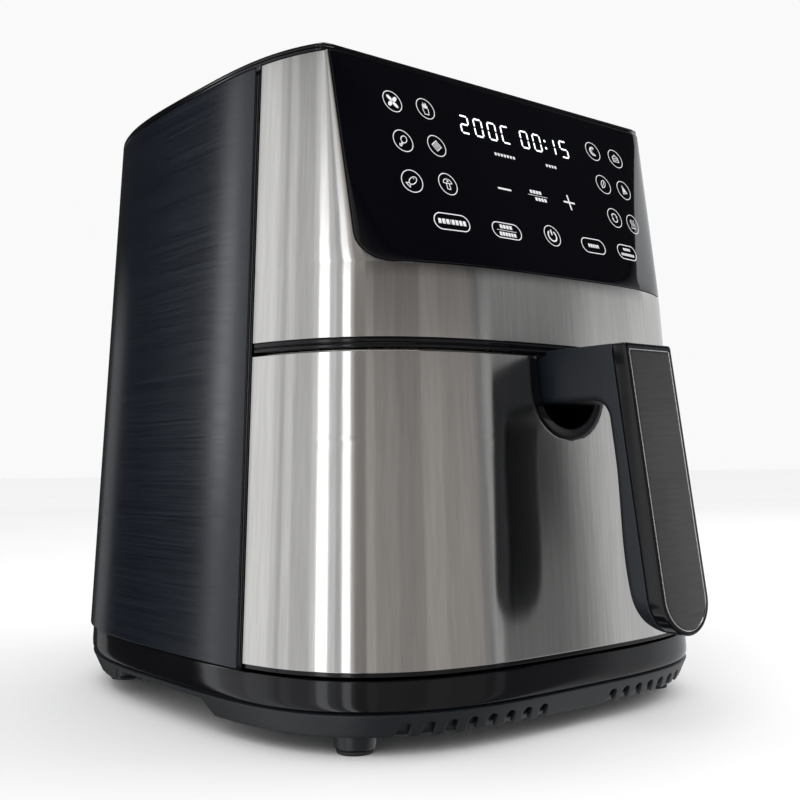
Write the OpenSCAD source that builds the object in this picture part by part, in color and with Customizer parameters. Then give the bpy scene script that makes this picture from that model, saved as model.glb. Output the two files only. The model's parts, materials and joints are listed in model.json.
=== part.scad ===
// Drawer air fryer. Millimetres, +Z up, front towards -Y, origin under the middle of the whole object.

/* [Body] */
// Width of the body where its sides would meet the table
body_w = 297; // [285:1:310]
// Reach of the body in front of its widest line, at the table
body_front = 152; // [145:1:160]
// Reach of the body behind its widest line, at the table
body_rear = 193.5; // [185:0.5:200]
// Height of the rim of the top cover
body_h = 330; // [326:1:336]
// Size of the top outline against the bottom one
top_ratio = 0.88; // [0.86:0.01:0.92]
// Squareness of the two front corners
front_power = 3.4; // [3:0.1:4]
// Squareness of the two rear corners
rear_power = 3.15; // [3:0.05:4]
// Wall of the moulded shells
wall = 2.4; // [2:0.1:3]
// Thickness of the sheet-metal skins
skin = 1; // [0.8:0.1:1.2]

/* [Front] */
// Height of the middle trim's lower edge, just above the drawer
trim_z = 183.4; // [183:0.1:184]
// Height of the steel band's lower edge
band_z = 188.2; // [187:0.1:190]
// Height where the control panel starts to lean back
panel_z = 223; // [218:1:228]
// Half of the width of the control panel at its top
panel_half = 115; // [105:1:118]
// Distance of the panel's top edge in front of the widest line
ridge_y = 96.8; // [92:0.1:102]
// Width of the upright trim strips
strip_w = 4; // [3:0.5:5]

/* [Base] */
// Underside of the base ring
ring_z = 20; // [19:0.5:21]
// Underside of the body walls, just above the base ring
wall_z = 36; // [35.5:0.1:36.5]
// Lower edge of the slotted skirt
skirt_z = 9.5; // [9:0.5:11]
// Number of cooling slots in each group
slot_count = 8; // [4:1:8]
// Width of a cooling slot
slot_w = 5.3; // [4:0.1:6]
// Radius of a foot where it stands
foot_r = 9.5; // [8:0.5:10]

/* [Drawer] */
// Width of the pot
pot_w = 226; // [215:1:228]
// Depth of the pot from front to back
pot_d = 220; // [210:1:222]
// Height of the pot's floor
pot_z = 46; // [44:1:48]
// Height of the pot's rim
pot_top = 176; // [170:1:177]
// Sheet of the pot
pot_wall = 1; // [0.8:0.1:1.6]
// Half of the width of the recess behind the handle's arm
pocket_r = 27; // [25:1:29]

/* [Handle] */
// Half of the handle's width
grip_half = 16.75; // [15:0.25:18]
// Height of the handle's top
grip_top = 184.5; // [184:0.1:185]
// Height of the handle's lowest point
grip_low = 52.5; // [48:0.5:58]

/* [Works] */
// Radius of the hot-air fan
fan_r = 78; // [70:1:82]
// Radius of the motor shaft
shaft_r = 4; // [3:0.5:5]
// Radial running clearance of the shaft in its bearings
running = 0.04; // [0.02:0.01:0.08]
// Radius of the bore in the cord gland
gland_r = 4; // [3:0.5:4.5]

/* [Hidden] */
origin_shift = 8;        // from the widest line to the middle of the whole depth
outline_points = 64;     // points round the plan outline
crown = 3;               // rise of the top cover above its rim
cover_edge = 4;          // visible edge of the top cover
clear = 0.3;             // gap between neighbouring pieces of the casing
trim_lean = 6;           // how far the trim strips lean forward from top to table
trim_top_y = -60.5;      // middle of the trim strips at the top
panel_gap = 0.4;         // gap between the glass and the steel round it
glass = 2;               // thickness of the control panel
frame_in = 2.4;          // depth of the panel carrier behind the outer surface
frame_t = 2.2;           // thickness of the panel carrier
pocket_z = 167.6;        // centre of the recess's round end
pocket_back = -124;      // floor of the recess
face_lean = 0.149;       // forward lean of the handle's face, per unit down
face_top_y = -193;       // handle's face at its top
front_half = 8.5;        // thickness of the handle's glossy front half
plate_in = 2.6;          // border round the handle's face plate
pot_y = -2;              // middle of the pot and of the heater above it
cavity_half = 127;       // half of the cavity's width
cavity_back = 122;       // rear of the cavity
cavity_mouth = -57;      // front of the cavity's side walls
cavity_z = 39.2;         // underside of the cavity
ceiling_z = 182.2;       // underside of the ceiling plate
sheet = 1;               // sheet of the cavity
dome_r = 104;            // heater dome
dome_z = 236;            // top of the heater dome
mouth_r = 97;            // hot-air opening in the ceiling
rail_z = 106;            // middle of the side rails
gland_z = 60;            // height of the cord gland
switch_z = 160;          // height of the interlock switch
plunger_r = 2;           // radius of its plunger
plunger_y = 112.5;       // tip of the plunger with the drawer closed
rear_half = 66;          // half of the rear panel's width
grille_half = 60;        // half of the exhaust grille's width
grille_low = 216;        // lower edge of the exhaust grille
grille_high = 294;       // upper edge of the exhaust grille
foot_spots = [[-107, -106], [107, -106], [-109, 128], [109, 128]];
screw_spots = [[-75, -40], [75, -40], [-75, 100], [75, 100]];
motor_spots = [[-62, -38], [62, -38], [-62, 38], [62, 38]];
grille_spots = [[-54, 221], [54, 221], [-54, 289], [54, 289]];
bracket_angles = [30, 150, 270];
tilt = 19;               // lean of the circuit board behind the panel

// ---------------------------------------------------------------- shared shapes

function signed_power(v, p) = sign(v) * pow(abs(v), p);

// Size of the plan outline at height z against the outline at the table
function plan_scale(z) = 1 - (1 - top_ratio) * z / body_h;

function corner_power(a) = sin(a) < 0 ? front_power : rear_power;

function reach(a) = sin(a) < 0 ? body_front : body_rear;

// Middle of the trim strips at height z
function trim_y(z) = trim_top_y - trim_lean * (body_h - z) / body_h;

// Rear surface of the body at side distance x and height z
function rear_y(x, z) =
    let (k = plan_scale(z))
        k * body_rear * pow(1 - pow(abs(x) / (k * body_w / 2), rear_power), 1 / rear_power);

// Face of the handle at height z
function face_y(z) = face_top_y - face_lean * (grip_top - z);

module placed() {
    translate([0, origin_shift, 0]) children();
}

// Plan outline at the table, drawn in by inset: a rounded shape, squarer at the front
module plan(inset = 0) {
    polygon([
        for (i = [0 : outline_points - 1])
            let (a = i * 360 / outline_points, p = 2 / corner_power(a))
                [(body_w / 2 - inset) * signed_power(cos(a), p), (reach(a) - inset) * signed_power(sin(a), p)]
    ]);
}

// Tapered block between two heights
module tapered(z0, z1, inset = 0) {
    translate([0, 0, z0])
        linear_extrude(height = z1 - z0, scale = plan_scale(z1) / plan_scale(z0))
            scale(plan_scale(z0)) plan(inset);
}

module tapered_shell(z0, z1, outer, inner) {
    difference() {
        tapered(z0, z1, outer);
        tapered(z0 - 1, z1 + 1, inner);
    }
}

// Block whose outline changes size by a free amount between two heights
module flared(z0, z1, k0, k1, inset = 0) {
    translate([0, 0, z0]) linear_extrude(height = z1 - z0, scale = k1 / k0) scale(k0) plan(inset);
}

// Upper body with its front leaning back to a straight top edge
module upper_form(inset = 0) {
    thin = 0.01;
    hull() {
        tapered(band_z - 8, band_z - 8 + thin, inset);
        tapered(panel_z, panel_z + thin, inset);
        intersection() {
            tapered(body_h - thin, body_h, inset);
            translate([-body_w, -ridge_y + inset, body_h - 1]) cube([2 * body_w, 2 * body_w, 2]);
        }
    }
}

// Extrudes a (y, z) drawing along X, centred
module along_x(width) {
    translate([-width / 2, 0, 0]) rotate([90, 0, 90]) linear_extrude(width) children();
}

// Extrudes an (x, z) drawing along Y, from y0 back to y1
module along_y(y0, y1) {
    translate([0, y1, 0]) rotate([90, 0, 0]) linear_extrude(y1 - y0) children();
}

// Everything in front of the trim strips, or behind them, between two heights
module ahead_of_trim(z0, z1) {
    g = strip_w / 2 + clear;
    along_x(2 * body_w) polygon([
        [trim_y(z0) - g, z0], [trim_y(z1) - g, z1], [-body_w, z1], [-body_w, z0]
    ]);
}

module behind_trim(z0, z1) {
    g = strip_w / 2 + clear;
    along_x(2 * body_w) polygon([
        [trim_y(z0) + g, z0], [trim_y(z1) + g, z1], [body_w, z1], [body_w, z0]
    ]);
}

// Rectangle with round corners, centred
module round_rect(w, d, r) {
    half_w = w / 2 - r;
    half_d = d / 2 - r;
    square([2 * half_w, d], center = true);
    square([w, 2 * half_d], center = true);
    for (x = [-half_w, half_w], y = [-half_d, half_d]) translate([x, y]) circle(r, $fn = 48);
}

module round_box(w, d, r, z0, z1) {
    translate([0, pot_y, z0]) linear_extrude(z1 - z0) round_rect(w, d, r);
}

// Round-ended upright slot in an (x, z) drawing: straight sides up to top, round end below
module round_end(half, end_z, top) {
    intersection() {
        union() {
            translate([0, end_z]) circle(half, $fn = 64);
            translate([-half, end_z]) square([2 * half, top - end_z]);
        }
        translate([-half, end_z - half]) square([2 * half, top - end_z + half]);
    }
}

// Ring about the fan's axis
module ring(outer, inner, z0, z1) {
    translate([0, pot_y, z0]) difference() {
        cylinder(r = outer, h = z1 - z0, $fn = 96);
        translate([0, 0, -1]) cylinder(r = inner, h = z1 - z0 + 2, $fn = 96);
    }
}

module screws_up(spots, head_r, head_h, shaft, z) {
    for (s = spots) translate([s[0], s[1], z]) {
        cylinder(r = head_r, h = head_h, $fn = 24);
        cylinder(r = 2, h = shaft, $fn = 24);
    }
}

// ---------------------------------------------------------------- base

module vent_slots() {
    pitch = 10.6;
    first = 22.5;
    for (side = [-1, 1], i = [0 : slot_count - 1])
        translate([side * (first + slot_w / 2 + i * pitch), 0, 0])
            along_y(-body_w, -60) union() {
                translate([-slot_w / 2, skirt_z - 1]) square([slot_w, 5]);
                translate([0, skirt_z + 4]) circle(slot_w / 2, $fn = 32);
            }
}

// Arches under both sides, where hands reach in to lift the fryer
module side_arches() {
    arch_front = -38;
    arch_back = 78;
    along_x(2 * body_w) polygon([
        [arch_front, skirt_z - 1], [arch_front + 8, ring_z - 2.6], [arch_back - 8, ring_z - 2.6],
        [arch_back, skirt_z - 1]
    ]);
}

module base_pan() placed() color("dimgray") {
    k_top = plan_scale(ring_z) * 0.985;
    k_low = k_top * 0.972;
    floor_t = 2.5;
    difference() {
        union() {
            difference() {
                flared(skirt_z, ring_z, k_low, k_top);
                translate([0, 0, -floor_t]) flared(skirt_z - 1, ring_z, k_low, k_top, wall);
            }
            for (s = screw_spots)
                translate([s[0], s[1], ring_z - 1]) cylinder(r = 5, h = cavity_z - ring_z + 1, $fn = 32);
        }
        vent_slots();
        side_arches();
        for (s = screw_spots)
            translate([s[0], s[1], 0]) cylinder(r = 2.2, h = 60, $fn = 32);
    }
}

module base_ring() placed() color("black") {
    tapered_shell(ring_z + 0.05, wall_z - 0.6, 1.8, 1.8 + wall);
}

module foot(i) placed() color("dimgray") {
    pad_h = 2;
    spot = foot_spots[i];
    translate([spot[0], spot[1], pad_h])
        cylinder(r1 = foot_r, r2 = foot_r + 1.2, h = ring_z - 2.5 - pad_h, $fn = 64);
}

module foot_pads() placed() color("black") {
    for (s = foot_spots)
        translate([s[0], s[1], 0]) cylinder(r = foot_r - 0.8, h = 2, $fn = 64);
}

module base_screws() placed() color("silver") {
    screws_up(screw_spots, 4, 2, cavity_z - ring_z + 4, ring_z - 4.5);
}

// ---------------------------------------------------------------- casing

module grille_window(grow = 0) {
    along_y(120, body_rear + 10) translate([-grille_half - grow, grille_low - grow])
        square([2 * (grille_half + grow), grille_high - grille_low + 2 * grow]);
}

// Side wall, from the trim strip round to the rear panel
module wrap(side) placed() color("midnightblue") {
    top = body_h - cover_edge;
    edge = rear_half + clear / 2;
    intersection() {
        tapered_shell(wall_z, top, 0, wall);
        behind_trim(wall_z - 1, top + 1);
        translate([side > 0 ? edge : -body_w - edge, -body_w, 0]) cube([body_w, 2 * body_w, body_h]);
    }
}

module rear_panel() placed() color("black") {
    top = body_h - cover_edge;
    edge = rear_half - clear / 2;
    difference() {
        intersection() {
            tapered_shell(wall_z, top, 0, wall);
            translate([-edge, 100, 0]) cube([2 * edge, 200, body_h]);
        }
        grille_window(clear);
        translate([0, 150, gland_z]) rotate([-90, 0, 0]) cylinder(r = 8.2, h = 60, $fn = 48);
    }
}

module trim_strip(side) placed() color("black") {
    top = body_h - cover_edge;
    g = strip_w / 2;
    intersection() {
        tapered_shell(wall_z, top, -0.3, wall + 1);
        along_x(2 * body_w) polygon([
            [trim_y(wall_z) - g, wall_z - 1], [trim_y(wall_z) + g, wall_z - 1],
            [trim_y(top) + g, top + 1], [trim_y(top) - g, top + 1]
        ]);
        translate([side > 0 ? 0 : -body_w, -body_w, 0]) cube([body_w, 2 * body_w, body_h]);
    }
}

// Shallow mound on the top cover, starting at height z
module crown_form(z, inset) {
    intersection() {
        translate([0, 0, z])
            linear_extrude(height = crown, scale = 0.86) scale(plan_scale(body_h)) plan(inset);
        translate([-body_w, inset - ridge_y, z]) cube([2 * body_w, 2 * body_w, crown]);
    }
}

module top_cover() placed() color("black") {
    rim = body_h - cover_edge;
    thickness = 2.5;
    difference() {
        union() {
            intersection() {
                upper_form(0);
                translate([-body_w, -body_w, rim]) cube([2 * body_w, 2 * body_w, cover_edge]);
            }
            crown_form(body_h, 3);
        }
        intersection() {
            upper_form(wall + 1);
            translate([-body_w, -body_w, rim - 1])
                cube([2 * body_w, 2 * body_w, cover_edge + 1.05 - thickness]);
        }
        crown_form(body_h - thickness, 6);
    }
}

module rear_grille() placed() color("black") {
    bars = 8;
    pitch = 9;
    first = grille_low + 7.5;
    difference() {
        intersection() {
            tapered_shell(grille_low - 5, grille_high + 5, -0.2, wall);
            grille_window();
        }
        for (i = [0 : bars - 1], side = [-1, 1])
            translate([side * 25.5, 0, first + i * pitch])
                along_y(120, body_rear + 10) square([39, 5], center = true);
        for (s = grille_spots)
            translate([s[0], 150, s[1]]) rotate([-90, 0, 0]) cylinder(r = 1.7, h = 60, $fn = 24);
    }
}

module grille_screws() placed() color("silver") {
    tip = 162;
    for (s = grille_spots) translate([s[0], 0, s[1]]) rotate([-90, 0, 0]) {
        seat = rear_y(s[0], s[1]) + 0.7;
        translate([0, 0, tip]) cylinder(r = 1.5, h = seat - tip + 1, $fn = 24);
        translate([0, 0, seat]) cylinder(r = 3, h = 1.8, $fn = 24);
    }
}

module cord_gland() placed() color("black") {
    outside = -face_y(grip_low) - 2 * origin_shift;
    seat = rear_y(0, gland_z - 12) + 0.1;
    translate([0, 0, gland_z]) rotate([-90, 0, 0]) difference() {
        union() {
            translate([0, 0, 178]) cylinder(r = 8, h = 14, $fn = 64);
            translate([0, 0, seat]) cylinder(r = 12, h = 2.6, $fn = 64);
            translate([0, 0, seat + 2.5]) cylinder(r1 = 8, r2 = 6.5, h = outside - seat - 2.5, $fn = 64);
        }
        translate([0, 0, 170]) cylinder(r = gland_r, h = 40, $fn = 64);
    }
}

module gland_nut() placed() color("dimgray") {
    translate([0, 179.5, gland_z]) rotate([-90, 0, 0]) difference() {
        cylinder(r = 12, h = 5, $fn = 6);
        translate([0, 0, -1]) cylinder(r = 8.05, h = 7, $fn = 64);
    }
}

// ---------------------------------------------------------------- upper front

// Outline of the control panel as seen from the front, drawn in by inset
module panel_outline(inset = 0) {
    corner = 14;
    half = panel_half - inset;
    centre_x = half - 4 - corner;
    centre_z = panel_z + inset + corner;
    polygon(concat(
        [[-half, body_h + 5], [half, body_h + 5]],
        [for (a = [0 : -9 : -90]) [centre_x + corner * cos(a), centre_z + corner * sin(a)]],
        [for (a = [-90 : -9 : -180]) [-centre_x + corner * cos(a), centre_z + corner * sin(a)]]
    ));
}

module front_region(z0, z1) {
    intersection() {
        ahead_of_trim(z0, z1);
        translate([-body_w, -body_w, z0]) cube([2 * body_w, 2 * body_w, z1 - z0]);
    }
}

module front_band() placed() color("silver") {
    top = body_h - cover_edge - clear;
    difference() {
        intersection() {
            upper_form(0);
            front_region(band_z, top);
        }
        upper_form(skin);
        along_y(-body_w, -60) panel_outline();
    }
}

module mid_trim() placed() color("black") {
    intersection() {
        tapered_shell(trim_z, band_z - 0.1, 0.2, wall + 3);
        ahead_of_trim(trim_z - 1, band_z);
    }
}

module panel_glass() placed() color([0.02, 0.02, 0.03]) {
    top = body_h - cover_edge - clear;
    intersection() {
        difference() {
            upper_form(-0.1);
            upper_form(glass);
        }
        along_y(-body_w, -60) panel_outline(panel_gap);
        translate([-body_w, -body_w, panel_z]) cube([2 * body_w, 2 * body_w, top - panel_z]);
    }
}

module panel_frame() placed() color("dimgray") {
    top = body_h - cover_edge - clear;
    window_half = 100;
    window_low = 236;
    window_high = 316;
    difference() {
        intersection() {
            upper_form(frame_in);
            front_region(band_z + 0.1, top);
        }
        upper_form(frame_in + frame_t);
        along_y(-body_w, -60) translate([-window_half, window_low])
            square([2 * window_half, window_high - window_low]);
    }
}

module on_board() {
    translate([0, -106, 275]) rotate([-tilt, 0, 0]) children();
}

module touch_board() placed() color("darkgreen") {
    key_d = 5.4;
    on_board() {
        translate([-85, 0, -38]) cube([170, 1.6, 76]);
        for (x = [-82, -61, 61, 82], z = [-11, 11, 33])
            translate([x, -key_d / 2, z - 1]) cube([9, key_d, 9], center = true);
        for (x = [-64, -28, 5, 36, 64])
            translate([x, -key_d / 2, -31]) cube([9, key_d, 9], center = true);
        translate([-40, 1.6, -20]) cube([30, 5, 24]);
        translate([15, 1.6, -14]) cube([16, 3, 16]);
    }
}

module display_module() placed() color("black") {
    on_board() translate([-42, -7.5, 14]) cube([84, 7.4, 20]);
}

// ---------------------------------------------------------------- cavity and heater

module cavity_liner() placed() color("gainsboro") {
    mid = (cavity_back + cavity_mouth) / 2;
    corner = 40;
    difference() {
        translate([0, cavity_back, cavity_z]) linear_extrude(ceiling_z - cavity_z)
            translate([0, -150]) round_rect(2 * cavity_half, 300, corner);
        translate([0, cavity_back - sheet, cavity_z + sheet]) linear_extrude(ceiling_z)
            translate([0, -150]) round_rect(2 * (cavity_half - sheet), 300, corner - sheet);
        translate([-body_w, -400, 0]) cube([2 * body_w, 400 + cavity_mouth, body_h]);
        for (s = screw_spots)
            translate([s[0], s[1], 0]) cylinder(r = 2.1, h = 60, $fn = 24);
        translate([0, 110, switch_z]) rotate([-90, 0, 0]) cylinder(r = 3, h = 20, $fn = 32);
    }
}

module front_collar() placed() color("dimgray") {
    y0 = -59;
    difference() {
        intersection() {
            tapered(wall_z, ceiling_z - 0.1, wall + 0.2);
            translate([-body_w, y0, 0]) cube([2 * body_w, cavity_mouth - y0 - 0.1, body_h]);
        }
        translate([-cavity_half + sheet, -100, cavity_z + sheet])
            cube([2 * (cavity_half - sheet), 100, 200]);
    }
}

module rails() placed() color("silver") {
    inner = 117;
    channel_h = 14;
    groove_h = 6;
    rail_back = 80;
    for (side = [-1, 1]) difference() {
        translate([side > 0 ? inner : -cavity_half + sheet, cavity_mouth + 1, rail_z - channel_h / 2])
            cube([cavity_half - sheet - inner, rail_back - cavity_mouth, channel_h]);
        translate([side > 0 ? inner - 1 : -inner - 5, cavity_mouth, rail_z - groove_h / 2])
            cube([6, 300, groove_h]);
    }
}

module ceiling_plate() placed() color("gainsboro") {
    difference() {
        intersection() {
            tapered(ceiling_z, ceiling_z + 1.1, wall + 3.4);
            translate([-body_w, -body_w, 0]) cube([2 * body_w, body_w + 125, body_h]);
        }
        translate([0, pot_y, 0]) cylinder(r = mouth_r, h = body_h, $fn = 96);
    }
}

module heater_dome() placed() color("silver") {
    t = 1.2;
    flange = 9;
    translate([0, pot_y, 0]) difference() {
        rotate_extrude($fn = 96) polygon([
            [dome_r + flange, ceiling_z + 1.2], [dome_r + flange, ceiling_z + 2.4],
            [dome_r, ceiling_z + 2.4], [dome_r, dome_z], [shaft_r + 3, dome_z],
            [shaft_r + 3, dome_z - t], [dome_r - t, dome_z - t], [dome_r - t, ceiling_z + 1.2]
        ]);
        for (a = bracket_angles) rotate(a) translate([86, 0, dome_z - 5]) cylinder(r = 1.6, h = 9, $fn = 24);
        translate([0, 88, dome_z - 5]) cylinder(r = 3.2, h = 9, $fn = 32);
    }
}

module insulation() placed() color("khaki") {
    ring(dome_r + 9, dome_r + 0.3, ceiling_z + 2.6, dome_z - 4);
}

module heater_coil() placed() color("dimgray") {
    tube = 3.25;
    turns = [64, 76, 88];
    height = 204;
    translate([0, pot_y, height]) {
        for (r = turns)
            rotate([0, 0, 96]) rotate_extrude(angle = 348, $fn = 96) translate([r, 0]) circle(tube, $fn = 24);
        for (r = turns) rotate(90) translate([r, 0, 0]) rotate([0, 90, 0])
            translate([0, r * sin(6), 0]) cylinder(r = tube, h = 12, center = true, $fn = 24);
        for (x = [-9.2, 9.2]) translate([x, 88, 0]) cylinder(r = tube, h = dome_z - height - 1.6, $fn = 24);
    }
}

module heater_brackets() placed() color("silver") {
    translate([0, pot_y, 0]) for (a = bracket_angles) rotate(a) {
        translate([56, -5, 207.4]) cube([40, 10, 1.4]);
        translate([94.6, -5, 207.4]) cube([1.4, 10, dome_z - 1.3 - 207.4]);
        translate([80, -5, dome_z - 2.7]) cube([16, 10, 1.4]);
    }
}

module fan_guard() placed() color("silver") {
    low = 185.2;
    bar = 1.4;
    rings = [20, 35, 50, 65, 80];
    translate([0, pot_y, low]) linear_extrude(2 * bar) {
        for (r = rings) difference() {
            circle(r + bar, $fn = 96);
            circle(r - bar, $fn = 96);
        }
        difference() {
            circle(mouth_r + 2.5, $fn = 96);
            circle(mouth_r - 3, $fn = 96);
        }
        for (a = [0 : 60 : 120]) rotate(a) square([2 * mouth_r, 2 * bar], center = true);
        circle(8, $fn = 48);
    }
}

module thermal_cutout() placed() color("silver") {
    translate([-86, pot_y + 32, dome_z + 0.1]) {
        cylinder(r = 7, h = 6, $fn = 48);
        translate([0, 0, 6]) cylinder(r = 5, h = 4, $fn = 48);
        translate([-12, -4, 0]) cube([24, 8, 1.2]);
    }
}

module temperature_probe() placed() color("silver") {
    translate([0, pot_y + 88, 0]) {
        translate([0, 0, 212]) cylinder(r = 3, h = dome_z - 212 + 8, $fn = 32);
        translate([0, 0, dome_z + 0.1]) cylinder(r = 6, h = 3, $fn = 32);
    }
}

// ---------------------------------------------------------------- motor and fans

module motor_bracket() placed() color("silver") {
    low = 258;
    difference() {
        translate([0, pot_y, 0]) {
            translate([0, 0, low]) linear_extrude(2) difference() {
                round_rect(142, 94, 10);
                circle(12.2, $fn = 64);
            }
            for (s = motor_spots)
                translate([s[0], s[1], dome_z]) cylinder(r = 5, h = low - dome_z, $fn = 32);
        }
        for (s = motor_spots)
            translate([s[0], s[1] + pot_y, dome_z + 6]) cylinder(r = 2.1, h = 60, $fn = 24);
    }
}

module motor_stator() placed() color("dimgray") {
    low = 264;
    translate([0, pot_y, low]) linear_extrude(22) difference() {
        round_rect(66, 66, 8);
        circle(18, $fn = 64);
    }
    for (x = [-26, 26]) translate([x, pot_y, low + 22]) cylinder(r = 5.5, h = 5, $fn = 32);
    for (x = [-25, 25], y = [-25, 25])
        translate([x, pot_y + y, 260]) cylinder(r = 4, h = low - 260, $fn = 32);
}

// Flanged bush under the motor and a bush on a strap over it
module bearings() placed() color("gold") {
    low = 254;
    high = 286;
    translate([0, pot_y, 0]) difference() {
        union() {
            translate([0, 0, low]) cylinder(r = 12, h = 7, $fn = 64);
            translate([0, 0, low + 6]) cylinder(r = 15, h = 2, $fn = 64);
            translate([0, 0, high + 0.1]) linear_extrude(2) round_rect(40, 14, 6);
            translate([0, 0, high]) cylinder(r = 9, h = 9, $fn = 64);
        }
        translate([0, 0, low - 1]) cylinder(r = shaft_r + running, h = high - low + 12, $fn = 64);
    }
}

module motor_screws() placed() color("silver") {
    for (s = motor_spots) translate([s[0], s[1] + pot_y, 0]) {
        translate([0, 0, 260]) cylinder(r = 4, h = 2.4, $fn = 24);
        translate([0, 0, 244]) cylinder(r = 2, h = 17, $fn = 24);
    }
}

module motor_shaft() placed() color("silver") {
    translate([0, pot_y, 0]) {
        translate([0, 0, 211]) cylinder(r = shaft_r, h = 86, $fn = 64);
        translate([0, 0, 265]) cylinder(r = 17.2, h = 20, $fn = 64);
        translate([0, 0, 213]) cylinder(r = 7, h = 3.4, $fn = 6);
    }
}

module blades(count, inner, outer, z, h, lean) {
    for (i = [0 : count - 1]) rotate(i * 360 / count)
        translate([inner, 0, z]) rotate(lean) translate([0, -0.6, 0]) cube([outer - inner, 1.2, h]);
}

module hot_fan() placed() color("silver") {
    disc = 230;
    translate([0, pot_y, 0]) difference() {
        union() {
            translate([0, 0, disc]) cylinder(r = fan_r, h = 1.2, $fn = 96);
            translate([0, 0, 217]) cylinder(r = 9, h = disc - 217, $fn = 48);
            blades(14, 34, fan_r - 2, disc - 14, 14.2, 14);
        }
        translate([0, 0, 200]) cylinder(r = shaft_r, h = 60, $fn = 64);
    }
}

module cooling_fan() placed() color("whitesmoke") {
    disc = 239;
    translate([0, pot_y, 0]) difference() {
        union() {
            translate([0, 0, disc]) cylinder(r = 52, h = 1.4, $fn = 96);
            translate([0, 0, disc]) cylinder(r = 9, h = 13, $fn = 48);
            blades(12, 20, 50, disc + 1.2, 9, 18);
        }
        translate([0, 0, 200]) cylinder(r = shaft_r, h = 60, $fn = 64);
    }
}

// ---------------------------------------------------------------- electrics and air path

module exhaust_duct() placed() color("dimgray") {
    y0 = 118;
    y1 = 163.5;
    t = 1.6;
    difference() {
        translate([-grille_half + 2, y0, grille_low])
            cube([2 * grille_half - 4, y1 - y0, grille_high - grille_low]);
        translate([-grille_half + 2 + t, y0 - 1, grille_low + t])
            cube([2 * (grille_half - 2 - t), y1 - y0 + 2, grille_high - grille_low - 2 * t]);
    }
}

module board_tray() placed() color("dimgray") {
    y0 = cavity_back + 0.1;
    difference() {
        translate([-88, y0, 62]) cube([176, 2.5, 100]);
        translate([0, y0 - 1, switch_z]) rotate([-90, 0, 0]) cylinder(r = 14, h = 5, $fn = 32);
    }
    for (x = [-80, 80], z = [70, 140])
        translate([x, y0 + 2.4, z]) rotate([-90, 0, 0]) cylinder(r = 4, h = 6, $fn = 32);
}

module power_board() placed() color("darkgreen") {
    y0 = cavity_back + 8.6;
    parts = [[-74, 84, 22, 16, 28], [-40, 78, 30, 22, 34], [4, 96, 18, 14, 24], [34, 80, 28, 20, 20],
             [40, 116, 24, 12, 16], [-70, 124, 30, 14, 12]];
    translate([-84, y0, 66]) cube([168, 1.6, 80]);
    for (p = parts) translate([p[0], y0 + 1.5, p[1]]) cube([p[2], p[3], p[4]]);
}

module interlock_switch() placed() color("black") {
    y0 = cavity_back + 0.1;
    difference() {
        translate([-10, y0, switch_z - 8]) cube([20, 18, 16]);
        translate([0, y0 - 1, switch_z]) rotate([-90, 0, 0])
            cylinder(r = plunger_r + running, h = 15, $fn = 32);
    }
    for (x = [-6, 6]) translate([x - 1, y0 + 17.9, switch_z - 3]) cube([2, 8, 6]);
}

module switch_plunger() placed() color("white") {
    translate([0, plunger_y, switch_z]) rotate([-90, 0, 0]) {
        cylinder(r = plunger_r, h = 20, $fn = 32);
        cylinder(r = plunger_r + 0.6, h = 2, $fn = 32);
    }
}

// ---------------------------------------------------------------- drawer

module pocket_cut(half) {
    along_y(-body_w, -60) round_end(half, pocket_z, body_h);
}

module drawer_form(outer, inner, z0, z1) {
    intersection() {
        tapered_shell(z0, z1, outer, inner);
        ahead_of_trim(z0 - 1, z1 + 1);
    }
}

module drawer_front() placed() color("black") {
    difference() {
        drawer_form(skin + 0.1, skin + 0.1 + wall + 1, 36.8, ceiling_z - 0.2);
        pocket_cut(pocket_r + 0.1);
    }
}

module drawer_skin() placed() color("silver") {
    difference() {
        drawer_form(0, skin, 38.9, ceiling_z - 0.3);
        pocket_cut(pocket_r + 0.1);
    }
}

module inner_panel() placed() color("dimgray") {
    y0 = -120;
    half = 98;
    difference() {
        translate([-half, y0, 42]) cube([2 * half, 2.4, 136]);
        for (x = [-7, 7])
            translate([x, y0 - 1, 170]) rotate([-90, 0, 0]) cylinder(r = 2.2, h = 5, $fn = 24);
    }
    for (x = [-half + 4, half - 8]) translate([x, -124.5, 60]) cube([4, 4.6, 100]);
}

module pocket_liner() placed() color("black") {
    t = 2;
    bowl = 23.5;
    top = ceiling_z - 0.4;
    difference() {
        intersection() {
            tapered(100, 190, -0.1);
            along_y(-160, pocket_back + t) round_end(pocket_r, pocket_z, top);
        }
        along_y(-200, pocket_back) round_end(bowl, pocket_z, top + 1);
        along_y(-136, pocket_back - 1) difference() {
            round_end(pocket_r + 5, pocket_z, top + 1);
            round_end(bowl + t, pocket_z, top + 2);
        }
        for (x = [-7, 7])
            translate([x, pocket_back - 1, 170]) rotate([-90, 0, 0]) cylinder(r = 2.2, h = 5, $fn = 24);
    }
}

// Front view of the handle, drawn in by inset
module grip_outline(inset = 0, top_inset = 0) {
    round_end(grip_half - inset, grip_low + grip_half, grip_top - top_inset);
}

// Layer of the handle between two depths behind its face
module grip_layer(d0, d1, inset = 0, top_inset = 0) {
    intersection() {
        along_x(2 * grip_half + 2) polygon([
            [face_y(grip_top) + d0, grip_top], [face_y(grip_top) + d1, grip_top],
            [face_y(grip_low) + d1, grip_low], [face_y(grip_low) + d0, grip_low]
        ]);
        along_y(-240, -100) grip_outline(inset, top_inset);
    }
}

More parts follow.
